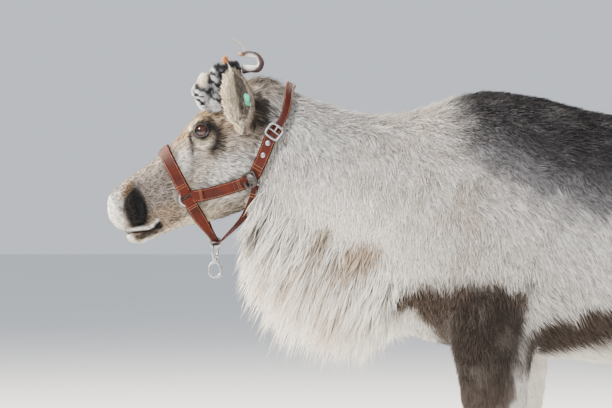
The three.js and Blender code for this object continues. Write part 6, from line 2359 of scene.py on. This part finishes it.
        ahead = unit(at(12, 0) - at(-12, 0))
        out = unit(np.cross(ahead, at(0, 12) - at(0, -12)))
        out = out * np.sign(out[1] * side)
        centre, up = at(0, 0), unit(np.cross(out, ahead))
        heights = []
        for turn in np.arange(16) * math.pi / 8:
            rim = centre + (radius + wire) * (ahead * math.cos(turn) + up * math.sin(turn))
            heights.append(np.dot(on_coat(self.coat, rim + 60 * out, rim) - centre, out))
        return centre + out * (max(heights) + wire + 0.8), ahead, up

    def _stitches(self, name: str, faces: np.ndarray, outs: np.ndarray) -> None:
        """Two lines of thread across each doubled end, and for broad straps a line along each edge."""
        thread = tube([(-1.5, 0, 0), (-0.8, 0, 0.5), (0.8, 0, 0.5), (1.5, 0, 0)], [0.35, 0.5, 0.5, 0.35], 6, 7)
        middle = faces[:, faces.shape[1] // 2]
        run = np.concatenate([[0], np.cumsum(np.linalg.norm(np.diff(middle, axis=0), axis=1))])
        places, ways, ups = [], [], []

        def line(starts: np.ndarray, way: np.ndarray, up: np.ndarray) -> None:
            """Adds stitches that share a direction."""
            places.append(starts)
            ways.append(way)
            ups.append(up)

        for far in (17, 21, run[-1] - 21, run[-1] - 17):
            k = int(np.argmin(np.abs(run - far)))
            across = faces[k, -1] - faces[k, 0]
            lane = resampled(faces[k], 64)[6:-6:9]
            line(lane + outs[k] * 0.25, np.tile(unit(across), (len(lane), 1)), np.tile(outs[k], (len(lane), 1)))
        if len(faces) > 0 and name != "throat_strap":
            for lane in (1, -2):
                count = int(run[-1] / 4.4)
                fine = resampled(np.hstack([faces[:, lane], outs]), count)
                way = unit(np.gradient(fine[:, :3], axis=0))
                line(fine[2:-2, :3] + fine[2:-2, 3:] * 0.12, way[2:-2], fine[2:-2, 3:])

        def dress(graph: Graph, shader: bpy.types.Node) -> None:
            """Waxed thread."""
            where = graph.term("ShaderNodeTexCoord", out="Object")
            tone = graph.noise(0.004, where, 2.0)
            colour = graph.mix(tone, rgba(linear(0.42, 0.20, 0.12)), rgba(linear(0.66, 0.44, 0.30)))
            link(graph, shader, Base_Color=colour, Roughness=0.7)

        finish = bpy.data.materials.get("thread_waxed") or material("thread_waxed", dress)
        made = self.rows.lay("stitches_" + name, thread, np.vstack(places), np.vstack(ways), np.vstack(ups), finish)
        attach(made, BODY)

    def _rivets(self, steel: bpy.types.Material) -> None:
        """Domed rivets through the crown strap."""
        profile_ = [(0.05, 1.0), (0.45, 0.92), (0.78, 0.66), (1.0, 0.22), (1.02, -0.1), (0.3, -0.12)]
        turn = np.arange(28) * 2 * math.pi / 28
        rings = [np.stack([5.2 * r * np.cos(turn), 5.2 * r * np.sin(turn), 0 * turn + 2.2 * z], 1) for r, z in profile_]
        dome = skinned(np.array(rings))
        crown = self._crown()
        for name, side in SIDES.items():
            for number, share in enumerate(self.rivets_at, 1):
                point, ahead, out = crown.at(share if side == LEFT else 1 - share)
                seat = np.array([point + out * (Strap.off + Strap.thick - 0.1)])
                piece = self.rows.lay(f"rivet_{name}_{number}_dome", dome, seat, ahead[None], out[None], steel)
                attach(piece, BODY)
                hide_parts(f"rivet_{name}_{number}")

    def _buckle(self, steel: bpy.types.Material) -> None:
        """The frame with its bar and prong."""
        point, ahead, out = self._crown().at(self.buckle_at)
        across = unit(np.cross(ahead, out))
        long, wide, wire = self.buckle_size
        centre = point + out * (Strap.off + Strap.thick + wire * 1.2)
        loop = wire_loop(centre, ahead, across, long / 2, wide / 2, wire, 0.42)
        bar = [centre + across * s * (wide / 2 - wire) - ahead * (long / 2 - wire) * 0 for s in (-1, 0, 1)]
        prong = [
            centre + out * 0.2, centre + ahead * 5 + out * 1.6, centre + ahead * (long / 2 - 4) + out * 1.9,
            centre + ahead * (long / 2) + out * 1.7,
        ]  # fmt: skip
        shell = loop.joined(tube(bar, [1.5, 1.5, 1.5], 12, 8), tube(prong, [1.5, 1.5, 1.4, 1.1], 12, 14))
        self._metal("steel_buckle", shell, steel, ["buckle"])

    def _swivel(self, steel: bpy.types.Material) -> None:
        """The loop on the straps, a shackle, the turning barrel and the lower loop."""
        x, up = self.swivel_x, np.array([0, 0, 1.0])
        side = np.array([1.0, 0, 0])
        turned = unit(np.array([0.5, 0.866, 0]))
        loop = wire_loop(np.array([x, 0, self.loop_z]), side, up, 11, 9.25, 2.2, 0.5)
        self._metal("steel_swivel_loop", loop, steel, ["swivel_loop"])
        shackle = wire_loop(np.array([x, 0, 735.0]), turned, up, 12.5, 13.5, 2.4, 0.7, -0.12)
        self._metal("steel_swivel_shackle", shackle, steel, ["swivel_shackle"])
        lower = wire_loop(np.array([x, 0, 700.0]), side, up, 13.5, 17, 2.8, 0.8, 0.16)
        barrel = tube([(x, 0, z) for z in (714.4, 716, 719.5, 723, 724.6)], [4.4, 6.2, 5.4, 5.6, 3.6], 28, 18)
        collar = wire_loop(np.array([x, 0, 719.5]), side, np.array([0, 1.0, 0]), 6.9, 6.9, 1.1, 1.0)
        self._metal("steel_swivel_lower", lower.joined(barrel, collar), steel, ["swivel_lower"])


@dataclass
class EarTag:
    """A bare plastic tag through the left ear, with its stud."""

    at: float = 0.42
    turn: float = 0.55
    long: float = 27
    wide: float = 13
    thick: float = 2.4
    lift: float = 6.5

    def build(self) -> None:
        """Makes the tag and its button."""
        along = EAR.axes(LEFT)[1]
        wall = -EAR.wall * (1 - 0.55 * self.at)
        near, middle, far = (EAR.points(LEFT, self.at, self.turn + s, wall) for s in (-0.1, 0, 0.1))
        across = unit(far - near)
        out = unit(np.cross(across, along))
        facing = EAR.axes(LEFT)[2]
        out = unit(out * np.sign(np.dot(out, facing)) * 0.5 + facing)
        across = np.cross(along, out)
        centre = middle + self.lift * out
        turn = np.arange(56) * 2 * math.pi / 56
        half, end = self.wide / 2, (self.long - self.wide) / 2
        rings = []
        for inset, level in ((0.9, 0), (0, 0.5), (0, self.thick - 0.6), (0.7, self.thick)):
            x, y = (half - inset) * np.cos(turn), (half - inset) * np.sin(turn) + end * np.sign(np.sin(turn))
            rings.append(centre + x[:, None] * across + y[:, None] * along + level * out)
        plate = skinned(np.array(rings))
        head = tube([centre + out * z for z in (2.2, 2.9, 3.6)], [4.6, 4.4, 2.6], 24, 8)
        stud = tube([centre - out * z for z in (0, 7, 14)], [2.6, 2.6, 2.6], 20, 4)
        button = tube([centre - out * z for z in (13, 14, 15)], [5.2, 5.4, 4.6], 24, 6)

        def dress(graph: Graph, shader: bpy.types.Node) -> None:
            """Teal plastic, a little chalky."""
            where = graph.term("ShaderNodeTexCoord", out="Object")
            chalk = graph.noise(0.003, where, 4.0)
            colour = graph.mix(chalk * 0.5, rgba(linear(0.05, 0.58, 0.46)), rgba(linear(0.25, 0.72, 0.60)))
            link(graph, shader, Base_Color=colour, Roughness=chalk * 0.2 + 0.32)

        mesh = make_mesh("tag_plate", plate.joined(head, stud, button))
        dressed(make_object(mesh.name, mesh), material("tag_teal", dress), ["ear_tag"])


@dataclass(frozen=True)
class Studio:
    """Pale floor and soft light, and the level camera that stands beside the animal's chest."""

    away: float = 4.0
    high: float = 0.826
    along: float = -484.0
    lens: float = 121.94

    def build(self) -> None:
        """Sets up floor, world, lights and camera."""
        self._floor()
        self._light("key_light", (-4.4, 1.4, 3.0), 0.9, 1500, (1.0, 0.88, 0.72))
        self._light("fill_light", (-3.0, -3.4, 4.4), 0.9, 640, (0.98, 0.98, 1.0))
        self._light("rear_light", (2.2, 3.4, 3.8), 1.4, 560, (1.0, 0.92, 0.80))
        world = bpy.context.scene.world or bpy.data.worlds.new("world")
        bpy.context.scene.world = world
        world.use_nodes = True
        sky = world.node_tree.nodes["Background"]
        sky.inputs["Color"].default_value = (0.80, 0.85, 0.92, 1.0)
        sky.inputs["Strength"].default_value = 0.9
        camera = bpy.data.objects.new("camera", bpy.data.cameras.new("camera"))
        camera.data.lens = self.lens
        camera.data.sensor_width = 36.0
        camera.data.clip_end = 60.0
        camera.location = ((self.along + SHIFT) * MM, -self.away, self.high)
        camera.rotation_euler = (math.radians(90), 0, 0)
        bpy.context.scene.collection.objects.link(camera)
        bpy.context.scene.camera = camera

    @staticmethod
    def _floor() -> None:
        """A pale floor, a little rough like packed snow."""

        def dress(graph: Graph, shader: bpy.types.Node) -> None:
            """Broad soft tones."""
            where = graph.term("ShaderNodeTexCoord", out="Object")
            tone = graph.noise(0.6, where, 2.0) * 0.06 + 0.74
            colour = graph.mix(1.0, (0.97, 0.985, 1.0, 1.0), tone, "MULTIPLY")
            link(graph, shader, Base_Color=colour, Roughness=0.9)

        half = 30.0
        mesh = bpy.data.meshes.new("floor")
        mesh.from_pydata([(-half, -half, 0), (half, -half, 0), (half, half, 0), (-half, half, 0)], [], [(0, 1, 2, 3)])
        mesh.materials.append(material("floor_pale", dress))
        make_object("floor", mesh)

    @staticmethod
    def _light(name: str, place: tuple, size: float, power: float, colour: tuple) -> None:
        """A soft area light that faces the animal's chest."""
        light = bpy.data.lights.new(name, "AREA")
        light.shape = "DISK"
        light.size, light.energy, light.color = size, power, colour
        made = bpy.data.objects.new(name, light)
        made.location = place
        made.rotation_mode = "QUATERNION"
        made.rotation_quaternion = (Vector((-0.3, 0, 0.8)) - Vector(place)).to_track_quat("-Z", "Y")
        bpy.context.scene.collection.objects.link(made)


def main() -> None:
    """Builds the reindeer piece by piece."""
    logging.basicConfig(level=logging.INFO, format="%(message)s")
    finish = CoatFinish("coat")
    tree = TuftTree()
    body = Body(finish)
    skin = body.build()
    log.info("skin: %d vertices", len(skin.data.vertices))
    Coat(skin, finish, tree).build()
    for name, side in SIDES.items():
        Eye(side, name, EyeFinish()).build()
        Ear(side, name, finish, tree).build()
        Antler(side, name, finish, tree).build()
    Hooves().build()
    EarTag().build()
    Halter(body.outside(), RowTree()).build()
    Studio().build()


if __name__ == "__main__":
    main()
